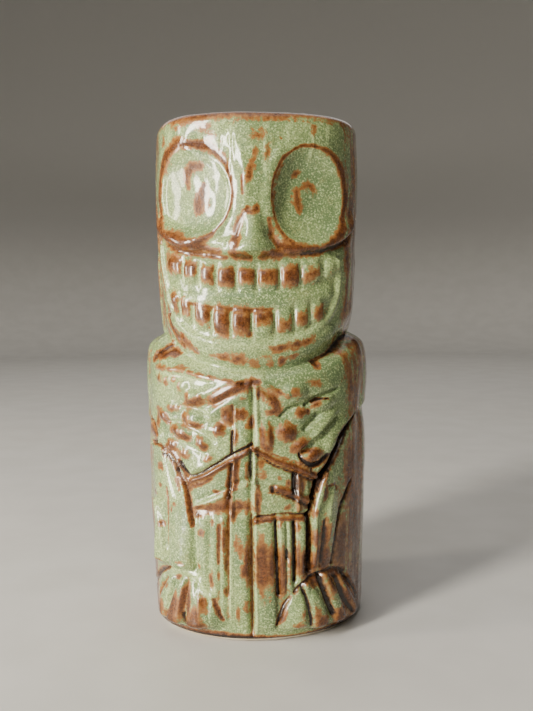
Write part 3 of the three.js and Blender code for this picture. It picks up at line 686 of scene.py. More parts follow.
def carve_loincloth(s):
    """A belt ridge with strips hanging from it: rounded pads with deep brown cuts between, their shade
    painted brown-black.
    """
    s.pads([(-21.6, -19), (-15.6, -16), (-12.4, -12.6), (-9.4, -10), (-2, -2)], 8, 43, 1)
    s.pads([(-1, -1), (6, 6.4)], 5, 42, 1.3)
    s.pads([(6.3, 6.8), (9.5, 9.6), (12.2, 12.1), (17.1, 16.8)], 17, 41.5, 1.2)
    s.stroke([(-1, 43.4), (3, 43.9), (8, 44.2), (13, 43.9), (17.4, 43.2)], 0.5, -0.9, brown=0.8,
             dark=0.8)
    s.stroke([(-0.8, 42.2), (5, 42.7), (11, 42.6), (17.2, 41.9)], 0.9, 1.1, brown=0.98)
    # A painted highlight, pale, along the top of the belt on the -X side.
    s.stroke([(-18, 42.6), (-14, 42.9), (-11, 42.4)], 1.3, 0.5, pale=0.6)
    # In the cuts below, the last column is painted shade, brown-black.
    cuts = [  # u at the top, top z, u at the foot, foot z, half width, depth, brown, dark
        (-9.6, 50, -10, 17, 0.6, 1.2, 0.7, 0.42), (-2.1, 44, -2.1, 2.6, 0.7, 1.5, 0.6, 0.4),
        (6, 42, 6.2, 30, 0.5, 1.6, 0.9, 0.95), (6.2, 30, 6.8, 16.6, 0.6, 1.4, 0.9, 0.9),
        (12.2, 41, 12.1, 21, 0.6, 1.6, 0.9, 0.95), (17.4, 43, 17.1, 23.4, 0.9, 2.2, 1, 1),
        (9.6, 32, 9.6, 29, 0.5, 0.8, 0.6, 1), (-12.6, 40.6, -12.9, 27.6, 0.55, 0.3, 1, 0.2),
        (15.6, 29.6, 15.3, 22.6, 0.5, 0.4, 0.9, 0.85), (-15.6, 42, -15.9, 30, 0.5, 0.3, 0.3, 0.1),
    ]
    for u0, z0, u1, z1, half, depth, brown, dark in cuts:
        s.line([(u0, z0), (u1, z1)], half, -0.7 * depth, brown=brown, dark=dark)
        s.line([(u0, z0), (u1, z1)], half + 1.2, -0.6 * depth)
    # In the strips below, pale is thick glaze, and painted highlight on the lit ridges.
    strips = [  # u at the top, top z, u at the foot, foot z, half width, rise, pale
        (-8.5, 51, -8.9, 10, 0.9, 0.9, 0.9), (-0.8, 44, -0.8, 3, 1.1, 1, 0.95),
        (7.2, 41, 7.5, 33, 0.7, 0.4, 0.8), (10.2, 40.6, 10.3, 20, 0.6, 0.3, 0.75),
        (13.1, 41, 13.2, 22, 0.5, 0.4, 0.7), (-20.2, 44, -19.5, 27, 0.7, 0.6, 0.8),
        (-11.4, 42, -11.2, 23, 0.7, 0.3, 0.6), (16, 40.6, 15.8, 32, 0.8, 0.2, 0.3),
    ]
    for u0, z0, u1, z1, half, rise, pale in strips:
        s.line([(u0, z0), (u1, z1)], half, rise, pale=pale)
    s.stains([
        (1.4, 28.6, 1.8, 8.6, 1.02), (4.2, 27, 1.2, 8, 0.86), (1.6, 23, 2.4, 3, 0.9),
        (0.9, 18, 1, 1.4, 0.55), (7.9, 25, 1.1, 8, 1), (9, 20.6, 0.9, 4, 0.8),
        (7.2, 40.6, 0.9, 1, 0.86), (10.4, 26, 0.6, 7, 0.66), (13.4, 39.8, 1, 2, 0.95),
        (13.3, 28, 0.8, 6, 0.9), (15.2, 26.4, 1.3, 4.6, 1), (-3.3, 28.4, 1, 6.6, 1),
        (-5.6, 33, 1.2, 2.4, 0.66), (-7, 35, 0.7, 3, 0.66), (-4.4, 25, 1.1, 2.4, 0.8),
        (-6.7, 10.4, 0.7, 4.6, 0.8), (-4, 13, 1.1, 2.6, 0.62), (-9.8, 12, 0.9, 4, 0.6),
        (-10.9, 35.4, 0.6, 5.4, 0.82), (-10.5, 27.4, 0.5, 3.4, 0.86), (-10.6, 18, 0.8, 1.8, 0.95),
        (-15.3, 21.8, 0.9, 2.8, 1), (-18.5, 37.6, 1, 1.1, 1.05), (-12.8, 23.4, 0.5, 1.6, 0.8),
        (-19.4, 26, 0.6, 1.4, 0.7), (-14.8, 41.4, 0.5, 1, 0.8), (-13.2, 16, 1.2, 3, 0.5),
    ], 0.05)


def carve_legs(s):
    """Two calves, with brown pits and a ragged ridge at the +X one's inner edge, and painted shade and
    highlight in places.
    """
    s.oval(24, 42, 6.8, 22, 1.9, tilt=-3)
    # The calves stand out most just above the feet.
    for u, half, rise in [(-27.2, 6.8, 3.7), (-37.8, 4.8, 3.2)]:
        middle = u - 0.05 * (s.z - 34)
        out = rise * np.interp(s.z, [24, 44, 62], [1, 0.32, 0]) * smoothstep(s.z, 22.8, 25)
        s.height += out * knoll((s.u - middle) / half)
    # On the -X calves: a cut and pits with painted shade, a painted shadow down the inner side and under
    # the calf above the foot, and a pale painted highlight along the outer calf.
    s.stroke([(-33.2, 51, 0.6), (-32.2, 46, 0.8), (-32.2, 41, 0.5), (-32.4, 30, 0.5)], height=-1,
             brown=0.95, dark=0.2)
    s.stroke([(-40.6, 45), (-37.8, 41.6), (-35.8, 37), (-35.2, 33), (-34, 28)], 1.3, 1, pale=0.5)
    s.oval(-31.7, 25.4, 0.8, 1.7, -0.4, brown=1)
    s.line([(-21.6, 41, 0.9), (-21.2, 25, 0.9)], height=-1.1, dark=0.3)
    s.stroke([(-32, 23.8, 0.8), (-26, 24, 0.7), (-22, 24.2, 0.7), (-20.4, 25.4, 0.6)], height=-1,
             dark=0.3)
    s.stroke([(-27.6, 58, 0.8), (-27.6, 54, 1), (-26.8, 51, 0.7)], height=-0.4, brown=0.8, dark=0.3)
    s.stains([
        (-35.3, 37.9, 1, 1, 1.05), (-36.7, 51.3, 0.9, 0.8, 1), (-40.6, 48.2, 1.8, 0.8, 1),
        (-43.6, 41, 1, 0.9, 0.8), (-36, 58, 2, 1.4, 0.8), (-30.2, 44, 0.4, 1.4, 0.9),
        (-28.8, 46, 0.9, 0.8, 0.8), (-36.8, 24.4, 1.6, 1.2, 0.8), (-24.8, 26.4, 1.6, 1, 0.5),
    ], -0.35, dark=0.3)
    # The broken ridge beside the deep gap on the +X side.
    s.stroke([(24, 57.6, 0.9), (22.4, 54, 1.6), (21, 49, 1.7), (19.8, 45, 1.5), (19.2, 40, 1.5),
              (19.2, 34, 1.5), (18.9, 26, 1.4)], height=1.7)
    s.stains([
        (23, 50, 1, 2.8, -8, 1), (19.2, 44, 0.9, 1.6, 0, 0.9), (22, 55, 0.9, 1.4, 0, 0.7),
        (19.4, 35, 1.2, 2.6, 0, 0.95), (20.4, 30, 1, 3.2, 0, 1), (18.8, 26, 1.6, 3.4, 0, 1),
        (22.8, 37, 1.4, 4.8, 0, 1), (23, 27, 2.6, 5, 0, 1.05),
    ], 0.15)
    # Beside the +X ridge, pale strokes over thick glaze carry painted highlight, and the cuts painted
    # shade.
    s.stroke([(26, 57), (26.4, 51), (25, 46), (24.6, 43)], 1.4, 0.5, pale=0.5)
    s.stroke([(22.6, 41, 0.6), (22.4, 37, 1), (22, 31, 0.8), (21.6, 25, 0.7)], height=-1.1,
             brown=0.9, dark=0.75)
    s.stroke([(24.8, 40), (24.5, 36.4), (24.1, 34)], 0.7, 0.5, pale=0.3, brown=0.6)
    s.stroke([(24.4, 52.4, 0.4), (27.4, 52.6, 0.5), (28.4, 50.6, 0.6)], height=-0.7, brown=0.8, dark=0.7)
    s.stroke([(36, 52.4, 0.5), (32.8, 47.6, 0.8), (30, 42.4, 0.9), (28.2, 37, 0.9), (27, 30, 0.8),
              (26.4, 25, 0.7)], height=-1.6, brown=0.9, dark=0.95)
    s.oval(32, 30, 6, 12, brown=0.9)
    s.oval(31, 46, 4, 8, brown=0.6)


TOES = [  # from knuckle to tip, with half widths
    [(-22, 19.4, 1.8), (-20.9, 14, 2.8), (-20.4, 6.4, 3)],
    [(-26.2, 19.2, 1.6), (-27.9, 12, 2.6), (-29, 5.6, 2.9)],
    [(-31.4, 19.2, 1.5), (-34.2, 12.6, 2.4), (-36, 5.8, 2.6)],
    [(-37.4, 17.6, 1.4), (-40.6, 11, 2.2), (-42.4, 5.8, 2.3)],
    [(13, 15, 2.6), (11.8, 11, 3.8), (11, 7.6, 4.4)],
    [(16.6, 19.2, 1.9), (18.8, 12.6, 2.7), (20.2, 6, 2.8)],
    [(23.2, 20.8, 1.6), (25.8, 14, 2.3), (27.6, 6, 2.5)],
    [(28.6, 19.4, 1.5), (31.4, 13, 2.1), (34.4, 6, 2.3)],
    [(34.2, 17.4, 1.5), (37.6, 11.4, 2.1), (40.4, 5.8, 2.3)],
]


def carve_feet(s):
    """Each foot is a wedge that slopes out to its toes."""
    for u, half in [(-26.0, 16.5), (25.0, 18.5)]:
        foot = mesa(np.hypot((s.u - u) / half, (s.z - 10.4) / 12.8))
        wedge = 3.2 * np.clip((21 - s.z) / 15, 0, 1) * smoothstep(s.z, 2.0, 6.0)
        s.height += foot * (0.4 + wedge)
    for path in TOES:
        s.stroke(path, height=1.25 - 0.4 * smoothstep(abs(path[1][0]), 32, 41), shape=plump)
    # Cuts between the toes, with painted shade, darkest where they end in a pit.
    for path, half, depth, brown, dark in [
            ([(-24, 19.6), (-24.4, 13), (-24.9, 5.6)], 0.7, 1, 0, 0.1),
            ([(-24.9, 8.4), (-24.5, 5.8)], 0.8, 1, 0.7, 1),
            ([(-29.4, 17.6), (-31.2, 12), (-32.4, 5.6)], 0.7, 0.8, 0, 0),
            ([(-35, 17.6), (-37.6, 12), (-39.2, 5.6)], 0.8, 1, 0.8, 0.3),
            ([(14.4, 19), (16, 14.4), (16.8, 9.6), (17.1, 5.6)], 0.5, 1.4, 0.8, 0.95),
            ([(21.3, 21.8), (22.3, 17), (23.7, 12), (24.9, 8.4)], 0.8, 1.8, 0.9, 1),
            ([(27.6, 20), (29, 15), (30.8, 10.6), (33, 7)], 0.8, 1.5, 1, 0.85),
            ([(31.4, 20.8), (34.4, 16.2), (37, 11), (39.6, 6.4), (42, 2.6)], 0.7, 1.4, 1, 0.85)]:
        s.stroke(path, half, -0.5 * depth, brown=brown, dark=dark)
        s.stroke(path, half + 1, -0.4 * depth)
    # Fine raised lines beside the toes, thick with pale glaze and painted lighter as highlight.
    s.stroke([(-22.9, 20.2), (-23.5, 14), (-24, 4.6)], 0.5, 0.4, pale=0.95)
    s.stroke([(-31.2, 16.6), (-32.2, 11), (-33.3, 4.6)], 0.55, 0.45, pale=1)
    # The upper edge of each foot: a pale band with painted highlight, and cuts with painted shade round
    # it.
    s.stroke([(-34, 21.4), (-30, 22.4), (-25, 22.8), (-20.6, 21.8), (-17.2, 18.8), (-15, 15.8)],
             1.3, 0.9, pale=0.95)
    s.stroke([(-14.3, 15.4, 0.5), (-13.2, 12, 0.8), (-11.8, 8, 0.5)], height=-1.1,
             brown=1.0, dark=0.45)
    s.stroke([(-50, 11.4, 1.4), (-45, 14.8, 1.3), (-42, 17.6, 1.1), (-38, 20.4, 0.9),
              (-32.6, 22.6, 0.5)], height=-1.3, brown=1, dark=0.7)
    s.stroke([(6.2, 6.2, 0.5), (7.4, 9, 0.8), (8.6, 12.4, 0.7), (10.6, 15.6, 0.5)], height=-1.2,
             brown=0.8, dark=0.75)
    s.stroke([(12, 17.2, 0.5), (14, 19.6, 0.7), (17, 21.3, 0.8), (20.4, 22.4, 0.8), (26, 23, 0.8),
              (29.6, 22.4, 0.7), (33, 20.6, 0.6)], height=-1.2, brown=0.95, dark=0.7)
    s.stains([
        (-20.6, 6.2, 2.8, 1.7, 0, 1.15), (-19.8, 9.4, 1.6, 2.2, 0, 1),
        (-22.5, 13.4, 0.7, 5.2, 2, 1.1), (-17.6, 13.6, 1.2, 2.8, 15, 0.75),
        (-29, 9, 1.7, 5, -8, 1.15), (-29.8, 6.4, 2.5, 2, 0, 1.15),
        (-25.3, 13.4, 0.9, 5.4, -9, 1.05), (-35.7, 7.6, 1.6, 3, -15, 1.1),
        (-37.8, 9.6, 1.6, 4.4, -15, 1.15), (-28.8, 20.2, 1.3, 0.8, 10, 0.95),
        (-33, 16.6, 0.9, 0.9, 30, 0.7), (-43, 8, 1.6, 3.6, -20, 0.9), (8.2, 8.6, 0.7, 2.2, -25, 1),
        (13.4, 6.2, 2.2, 1.3, 0, 0.8), (14.3, 10, 0.8, 2, 0, 0.7), (20.4, 6.2, 2, 2.2, 0, 1.05),
        (18.8, 10, 1.2, 2.4, 0, 0.7), (27.4, 6.8, 1.8, 2.4, 0, 1.1), (19.6, 20.6, 2.6, 1.7, 10, 1.05),
        (25.6, 18.2, 1.7, 3.4, -10, 0.85), (31.6, 13, 2, 7, -20, 1.05), (37, 11, 3, 7, -22, 1.05),
        (28, 21.4, 4, 1.4, 0, 1.05),
    ])


def carve_sides(s):
    """Coarse upright tool marks round the sides and back, where the glaze is thinnest; the +X side is
    also browner as painted shade.
    """
    around = smoothstep(np.abs(s.u), 32, 44)
    grain = value_noise(s.u, s.z, 4.4, 34, 11) + 0.6 * value_noise(s.u, s.z, 2.6, 20, 12)
    s.height += around * (0.38 * grain - 0.2)
    head = smoothstep(s.z, 100, 108)
    below_knees = 1 - smoothstep(s.z, 28, 44)
    left_of_body = smoothstep(-s.u, 38, 47) * (0.5 + 0.5 * below_knees) * (1 - head)
    below_belt = 1 - smoothstep(s.z, 36, 74)
    # The +X side turns brown nearer the face and more strongly than the -X side: thin glaze, with
    # painted shade on top.
    right_body_brown_and_shade = smoothstep(s.u, 27, 36) * (0.7 + 0.3 * below_belt) * (1 - head)
    right_head_brown_and_shade = smoothstep(s.u, 32, 37) * head * 0.95
    left_of_head = smoothstep(-s.u, 38, 44) * head * 0.66
    side = np.maximum.reduce([left_of_body, right_body_brown_and_shade, right_head_brown_and_shade, left_of_head])
    side = side * (1 - 0.3 * smoothstep(np.abs(s.u), 62, 86))
    streak = (0.66 + 0.35 * value_noise(s.u, s.z, 3.2, 26, 13)
              + 0.2 * value_noise(s.u, s.z, 1.7, 12, 14))
    s.cover(streak=side, brown=side * np.clip(streak, 0, 1))


def carve_back(s):
    """A spine and combed hair, in the same hand as the front."""
    from_spine = np.where(s.u < 0, s.u + 2 * HALF_ROUND, s.u) - HALF_ROUND
    spine = soft(from_spine / 2.4) * band(s.z, 8, 16, 84, 92)
    s.height -= 1.3 * spine
    # The spine's groove is painted brown-black, as shade, like the cuts on the front.
    s.cover(brown=0.95 * spine, dark=0.8 * spine ** 2)
    for side in (-1, 1):
        s.height += 1.5 * soft((side * from_spine - 19) / 17) * band(s.z, 50, 56, 78, 92)
    locks = 5  # either side of the middle one
    for lock in range(-locks, locks + 1):
        hair = soft((from_spine - lock * 7.0 - 0.6 * np.sin(s.z / 9)) / 1.7)
        hair = hair * band(s.z, 108, 116, 168, 174)
        s.height -= hair
        s.cover(brown=0.85 * hair)


# ---- Radii of the surfaces, in mould millimetres ----

def oval_radius(u, half_width, squareness):
    turned = u / UNROLL_RADIUS - math.pi / 2 - SECTION_TURN
    across = np.abs(np.cos(turned)) ** squareness
    deep = np.abs(np.sin(turned) / SECTION_DEPTH) ** squareness
    return half_width / (across + deep) ** (1 / squareness)


def smooth_profile(points, z):
    """The profile with its corners rounded off over a few millimetres."""
    return sum(profile(points, z + shift) for shift in (-2.4, -1.2, 0, 1.2, 2.4)) / 5


def plain_radius(u, z):
    """The mug before carving: a tapering head sunk between the shoulders of a barrel.

    Gives the radius, and the height above the line where the head meets the body.
    """
    above = z - jaw_line(u)
    squareness = BODY_SQUARENESS + (HEAD_SQUARENESS - BODY_SQUARENESS) * smoothstep(above, 0, 9)
    head = oval_radius(u, smooth_profile(HEAD_PROFILE, z), squareness)
    shoulder = 1.8 + 3.2 * smoothstep(np.abs(u), 12, 44)
    body = oval_radius(u, smooth_profile(BODY_PROFILE, z), BODY_SQUARENESS)
    body = body - shoulder * np.exp(np.minimum(above, 0) / SHOULDER_FALL)
    return np.where(above > 0, head, body), above


def carve(u, z):
    """Radius of the glazed surface and its glaze layers."""
    plain, above = plain_radius(u, z)
    head, body, both = Carving(u, z), Carving(u, z), Carving(u, z)
    for part in (carve_eyes, carve_nose, carve_forehead, carve_brow, carve_mouth, carve_chin):
        part(head)
    for part in (carve_hands, carve_arms, carve_belly, carve_loincloth, carve_legs, carve_feet):
        part(body)
    for part in (carve_sides, carve_back, carve_collar):
        part(both)
    on_head = smoothstep(above, -0.4, 0.4)
    height = head.height * on_head + body.height * smoothstep(-above, 0, 4) + both.height
    # The belly sits back behind the hands and feet.
    height -= 1.8 * soft(u / 36) * band(z, 26, 54, 78, 92)
    # The surface is uneven from handwork, and finely rippled where the glaze has run.
    height += 0.3 * value_noise(u, z, 13, 15, 5)
    height += 0.035 * value_noise(u, z, 2.3, 2.3, 6) + 0.02 * value_noise(u, z, 1.5, 1.5, 7)
    # The relief fades out at the foot and the lip, where only the bridge goes on.
    height = height * band(z, BARE_FOOT, 5, 167, LIP_CENTRE_Z) + bridge_swell(u, z) * on_head
    # A groove runs round under the jaw.
    height -= 0.7 * soft(above / 1.5) * (1 - 0.5 * smoothstep(np.abs(u), 20, 40))
    both.cover(**{name: np.maximum(head.layers[name] * on_head, body.layers[name] * (1 - on_head))
                  for name in both.layers})
    # Thin, brown glaze at the lip and the foot, along wandering edges.
    wander = 0.9 * value_noise(u, z, 9, 9, 9)
    both.cover(brown=smoothstep(z + wander, 175.2, 177.6))
    both.cover(brown=0.95 * (1 - smoothstep(z + wander, 1.6, 4.0)),
               dark=0.85 * (1 - smoothstep(z + 0.6 * wander, 1.2, 3.2)))
    return plain + height, both.layers


def cavity_radius(u, z):
    return oval_radius(u, smooth_profile(CAVITY_PROFILE, z), CAVITY_SQUARENESS)


# ---- Grids and meshes ----

def column_positions():
    front = np.arange(-FRONT_REACH, FRONT_REACH, FRONT_STEP)
    side = np.arange(FRONT_REACH, SIDE_REACH, SIDE_STEP)
    back = np.arange(SIDE_REACH, 2 * HALF_ROUND - SIDE_REACH, BACK_STEP)
    other_side = 2 * HALF_ROUND - side[:0:-1]
    u = np.concatenate([front, side, back, other_side])
    return np.where(u > HALF_ROUND, u - 2 * HALF_ROUND, u)


COLUMNS = column_positions()


def row_heights(rows):
    """Heights of the rows at every column: they sag with the jaw line at the front."""
    sag = band(rows, 62, 100, 108, 142)
    return rows[:, None] - sag[:, None] * (JAW_HIGH - jaw_line(COLUMNS))[None, :]


def place(radius, z):
    """Points in metres, for radii at every column and a height for each, or one for all."""
    angle = COLUMNS / UNROLL_RADIUS
    z = np.broadcast_to(z, radius.shape)
    return np.stack([radius * np.sin(angle), -radius * np.cos(angle), z], axis=-1) * METRES


def shell(name, rings, closed_loop, layers=None):
    """Joins rings of points into one closed mesh. A ring of one point is a pole.

    In a closed loop the last ring joins the first. layers holds tints for each ring's points.
    """
    starts = np.cumsum([0] + [len(r) for r in rings])
    n = len(COLUMNS)
    step = np.arange(n)
    faces = []
    count = len(rings) if closed_loop else len(rings) - 1
    for row in range(count):
        after = (row + 1) % len(rings)
        a, b = starts[row] + step, starts[row] + (step + 1) % n
        c, d = starts[after] + (step + 1) % n, starts[after] + step
        if len(rings[row]) == 1:
            faces += np.column_stack([np.full(n, starts[row]), c, d]).tolist()
        elif len(rings[after]) == 1:
            faces += np.column_stack([a, b, np.full(n, starts[after])]).tolist()
        else:
            faces += np.column_stack([a, b, c, d]).tolist()
    mesh = bpy.data.meshes.new(name)
    mesh.from_pydata(np.concatenate(rings).tolist(), [], faces)
    for layer, values in (layers or {}).items():
        attribute = mesh.attributes.new(layer, "FLOAT", "POINT")
        attribute.data.foreach_set("value", np.concatenate(values).astype(np.float32))
    mesh.polygons.foreach_set("use_smooth", [True] * len(mesh.polygons))
    mesh.update()
    piece = bpy.data.objects.new(name, mesh)
    bpy.context.scene.collection.objects.link(piece)
    return piece


WALL_Z = row_heights(np.append(np.arange(BARE_FOOT, LIP_CENTRE_Z, ROW_STEP), LIP_CENTRE_Z))
OUTER, LAYERS = carve(np.broadcast_to(COLUMNS, WALL_Z.shape), WALL_Z)
TOP_ROW = len(WALL_Z) - 1
LIP_RADIUS = OUTER[TOP_ROW]


def lip_turns(rows):
    """Angles of the rows over the half round lip, without its two ends."""
    return [math.pi * row / (rows + 1) for row in range(1, rows + 1)]


def lip_arc(inset, rows):
    """Rings over the rounded lip, from its outer side to its inner side."""
    rings = []
    wobble = LIP_WOBBLE * value_noise(COLUMNS, np.full(len(COLUMNS), 20.0), 24, 40, 8)
    for turn in lip_turns(rows):
        across = (LIP_HALF_WIDTH - inset) * math.cos(turn)
        rise = (LIP_RISE - inset) * math.sin(turn)
        z = LIP_CENTRE_Z + rise + wobble * math.sin(turn) - LIP_WOBBLE * math.sin(turn)
        rings.append(place(LIP_RADIUS - LIP_HALF_WIDTH + across, z))
    return rings


def hidden_wall():
    """A coarser surface just under the carved one: its rows take the lowest radius near them."""
    rows = [(OUTER[0], WALL_Z[0])]
    for pick in range(UNDERSIDE_STRIDE, TOP_ROW, UNDERSIDE_STRIDE):
        lowest = OUTER[pick - UNDERSIDE_STRIDE:pick + UNDERSIDE_STRIDE + 1].min(axis=0)
        lowest = np.minimum.reduce([np.roll(lowest, -1), lowest, np.roll(lowest, 1)])
        rows.append((lowest, WALL_Z[pick]))
    return rows + [(OUTER[TOP_ROW], WALL_Z[TOP_ROW])]


HIDDEN = hidden_wall()


def lip_tint(name, turn):
    """The glaze runs thin over the top of the lip."""
    crest = math.sin(turn)
    tints = {"brown": 0.35 + 0.6 * crest ** 2, "dark": 0.3 * crest ** 6}
    return tints.get(name, 0.0)


def outer_glaze():
    seen = [place(radius, z) for radius, z in zip(OUTER, WALL_Z)] + lip_arc(0, LIP_ROWS)
    inner_edge = [(LIP_RADIUS - 2 * LIP_HALF_WIDTH, LIP_CENTRE_Z),
                  (cavity_radius(COLUMNS, ROLLOVER_END), ROLLOVER_END)]
    seen += [place(r, z) for r, z in inner_edge]
    under = [place(r + COAT, z) for r, z in inner_edge[::-1]]
    under += lip_arc(COAT, LIP_ROWS)[::-1]
    under += [place(r - COAT, z) for r, z in HIDDEN[::-1]]
    layers = {}
    for name, values in LAYERS.items():
        past_wall = [lip_tint(name, turn) for turn in lip_turns(LIP_ROWS)]
        past_wall += [0.3 if name == "brown" else 0.0] * (len(inner_edge) + len(under))
        layers[name] = [*values, *(np.full(len(COLUMNS), tint) for tint in past_wall)]
    return shell("green_glaze_coat", seen + under, True, layers)


def floor_rings(inset):
    """From the foot of the cavity wall, round its corner, to the flat floor and its centre."""
    low = FLOOR_TOP - inset
    wide = cavity_radius(COLUMNS, CORNER_TOP) + inset
    flat_edge = oval_radius(COLUMNS, FLOOR_EDGE, CAVITY_SQUARENESS)
    rings = []
    for row in range(CORNER_ROWS + 1):
        turn = math.pi / 2 * row / CORNER_ROWS
        z = low + (CORNER_TOP - low) * (1 - math.sin(turn))
        rings.append(place(flat_edge + (wide - flat_edge) * math.cos(turn), z))
    rings.append(place(oval_radius(COLUMNS, FLOOR_EDGE / 2, CAVITY_SQUARENESS), low))
    rings.append(np.array([[0, 0, low * METRES]]))
    return rings


def cavity_wall(inset, top):
    heights = np.linspace(top, CORNER_TOP + 1.5, CAVITY_ROWS)
    return [place(cavity_radius(COLUMNS, z) + inset, z) for z in heights]


def liner_glaze():
    inside = cavity_wall(0, LINER_END) + floor_rings(0)
    underside = cavity_wall(COAT, LINER_END) + floor_rings(COAT)
    return shell("liner_glaze_coat", underside[::-1] + inside, False)


def clay_body():
    inset = COAT + SEAM
    foot = OUTER[0]
    rounded_edge = [(foot - 2.4, 0), (foot - 1.5, 0.25), (foot - 1.1, 0.8)]
    bottom = [np.array([[0, 0, 0.0]]), place(foot * 0.5, 0)]
    bottom += [place(r, z) for r, z in rounded_edge]
    outside = [place(r - inset, z) for r, z in HIDDEN]
    lip = lip_arc(inset, CLAY_LIP_ROWS)
    inside = [place(LIP_RADIUS - 2 * LIP_HALF_WIDTH + inset, LIP_CENTRE_Z)]
    inside += cavity_wall(inset, ROLLOVER_END) + floor_rings(inset)
    return shell("stoneware_body", bottom + outside + lip + inside, False)


# ---- Materials ----

class Nodes:
    """Short names for the few node kinds that the materials use."""

    def __init__(self, name):
        self.material = bpy.data.materials.new(name)
        self.material.use_nodes = True
        self.tree = self.material.node_tree
        self.tree.nodes.clear()
        self.shader = self.new("ShaderNodeBsdfPrincipled")
        output = self.new("ShaderNodeOutputMaterial")
        self.link(self.shader.outputs["BSDF"], output.inputs["Surface"])

    def new(self, kind, **settings):
        node = self.tree.nodes.new(kind)
        for key, value in settings.items():
            setattr(node, key, value)
        return node

    def link(self, source, target):
        self.tree.links.new(source, target)

    def _feed(self, socket, value):
        if isinstance(value, bpy.types.NodeSocket):
            self.link(value, socket)
        else:
            socket.default_value = value

    def math(self, operation, a, b):
        node = self.new("ShaderNodeMath", operation=operation)
        self._feed(node.inputs[0], a)
        self._feed(node.inputs[1], b)
        return node.outputs[0]

    def swing(self, value, gain):
        """A noise moved to lie about zero, times the gain."""
        return self.math("MULTIPLY", self.math("SUBTRACT", value, 0.5), gain)

    def span(self, value, low, high, to_low=0.0, to_high=1.0):
        node = self.new("ShaderNodeMapRange", interpolation_type="SMOOTHSTEP")
        for socket, number in zip(node.inputs, (value, low, high, to_low, to_high)):
            self._feed(socket, number)
        return node.outputs[0]

    def blend(self, factor, a, b):
        node = self.new("ShaderNodeMix", data_type="RGBA")
        self._feed(node.inputs[0], factor)
        self._feed(node.inputs[6], a)
        self._feed(node.inputs[7], b)
        return node.outputs[2]

    def noise(self, size_mm, detail=3.0, roughness=0.55, stretch=1.0, shift=0.0):
        """Noise with features of about the given size, stretched upwards if asked."""
        coordinates = self.new("ShaderNodeTexCoord")
        mapping = self.new("ShaderNodeMapping")
        scale = 1000.0 / size_mm
        mapping.inputs["Scale"].default_value = (scale, scale, scale / stretch)
        mapping.inputs["Location"].default_value = (shift, shift * 0.7, shift * 1.3)
        self.link(coordinates.outputs["Object"], mapping.inputs["Vector"])
        node = self.new("ShaderNodeTexNoise")
        node.inputs["Scale"].default_value = 1.0
        node.inputs["Detail"].default_value = detail
        node.inputs["Roughness"].default_value = roughness
        self.link(mapping.outputs[0], node.inputs["Vector"])
        return node.outputs["Fac"]

    def layer(self, name):
        return self.new("ShaderNodeAttribute", attribute_name=name).outputs["Fac"]

    def bump(self, height, distance_mm, strength=1.0, under=None):
        node = self.new("ShaderNodeBump")
        node.inputs["Strength"].default_value = strength
        node.inputs["Distance"].default_value = distance_mm / 1000.0
        self.link(height, node.inputs["Height"])
        if under is not None:
            self.link(under, node.inputs["Normal"])
        return node.outputs["Normal"]


GREEN = (0.222, 0.288, 0.110, 1)
GREEN_DEEP = (0.120, 0.178, 0.075, 1)
# Pale green of thick glaze, and of painted highlight.
GREEN_PALE_AND_HIGHLIGHT = (0.44, 0.53, 0.23, 1)
GREEN_FLECK = (0.50, 0.60, 0.29, 1)
GREEN_SHADOW = (0.040, 0.070, 0.034, 1)
OLIVE = (0.22, 0.20, 0.060, 1)
RUST = (0.27, 0.102, 0.024, 1)
BROWN = (0.155, 0.052, 0.014, 1)
UMBER = (0.054, 0.018, 0.006, 1)
# Brown-black of painted shade, and of the glaze at the lip and foot.
BROWN_BLACK_AND_SHADE = (0.014, 0.006, 0.003, 1)
CLAY = (0.50, 0.42, 0.31, 1)
CLAY_PALE = (0.62, 0.55, 0.43, 1)
CLAY_GRIT = (0.26, 0.17, 0.10, 1)
FLOOR_GREY = (0.52, 0.51, 0.49, 1)
FLOOR_PALE = (0.56, 0.55, 0.53, 1)
WALL_GREY = (0.27, 0.265, 0.255, 1)


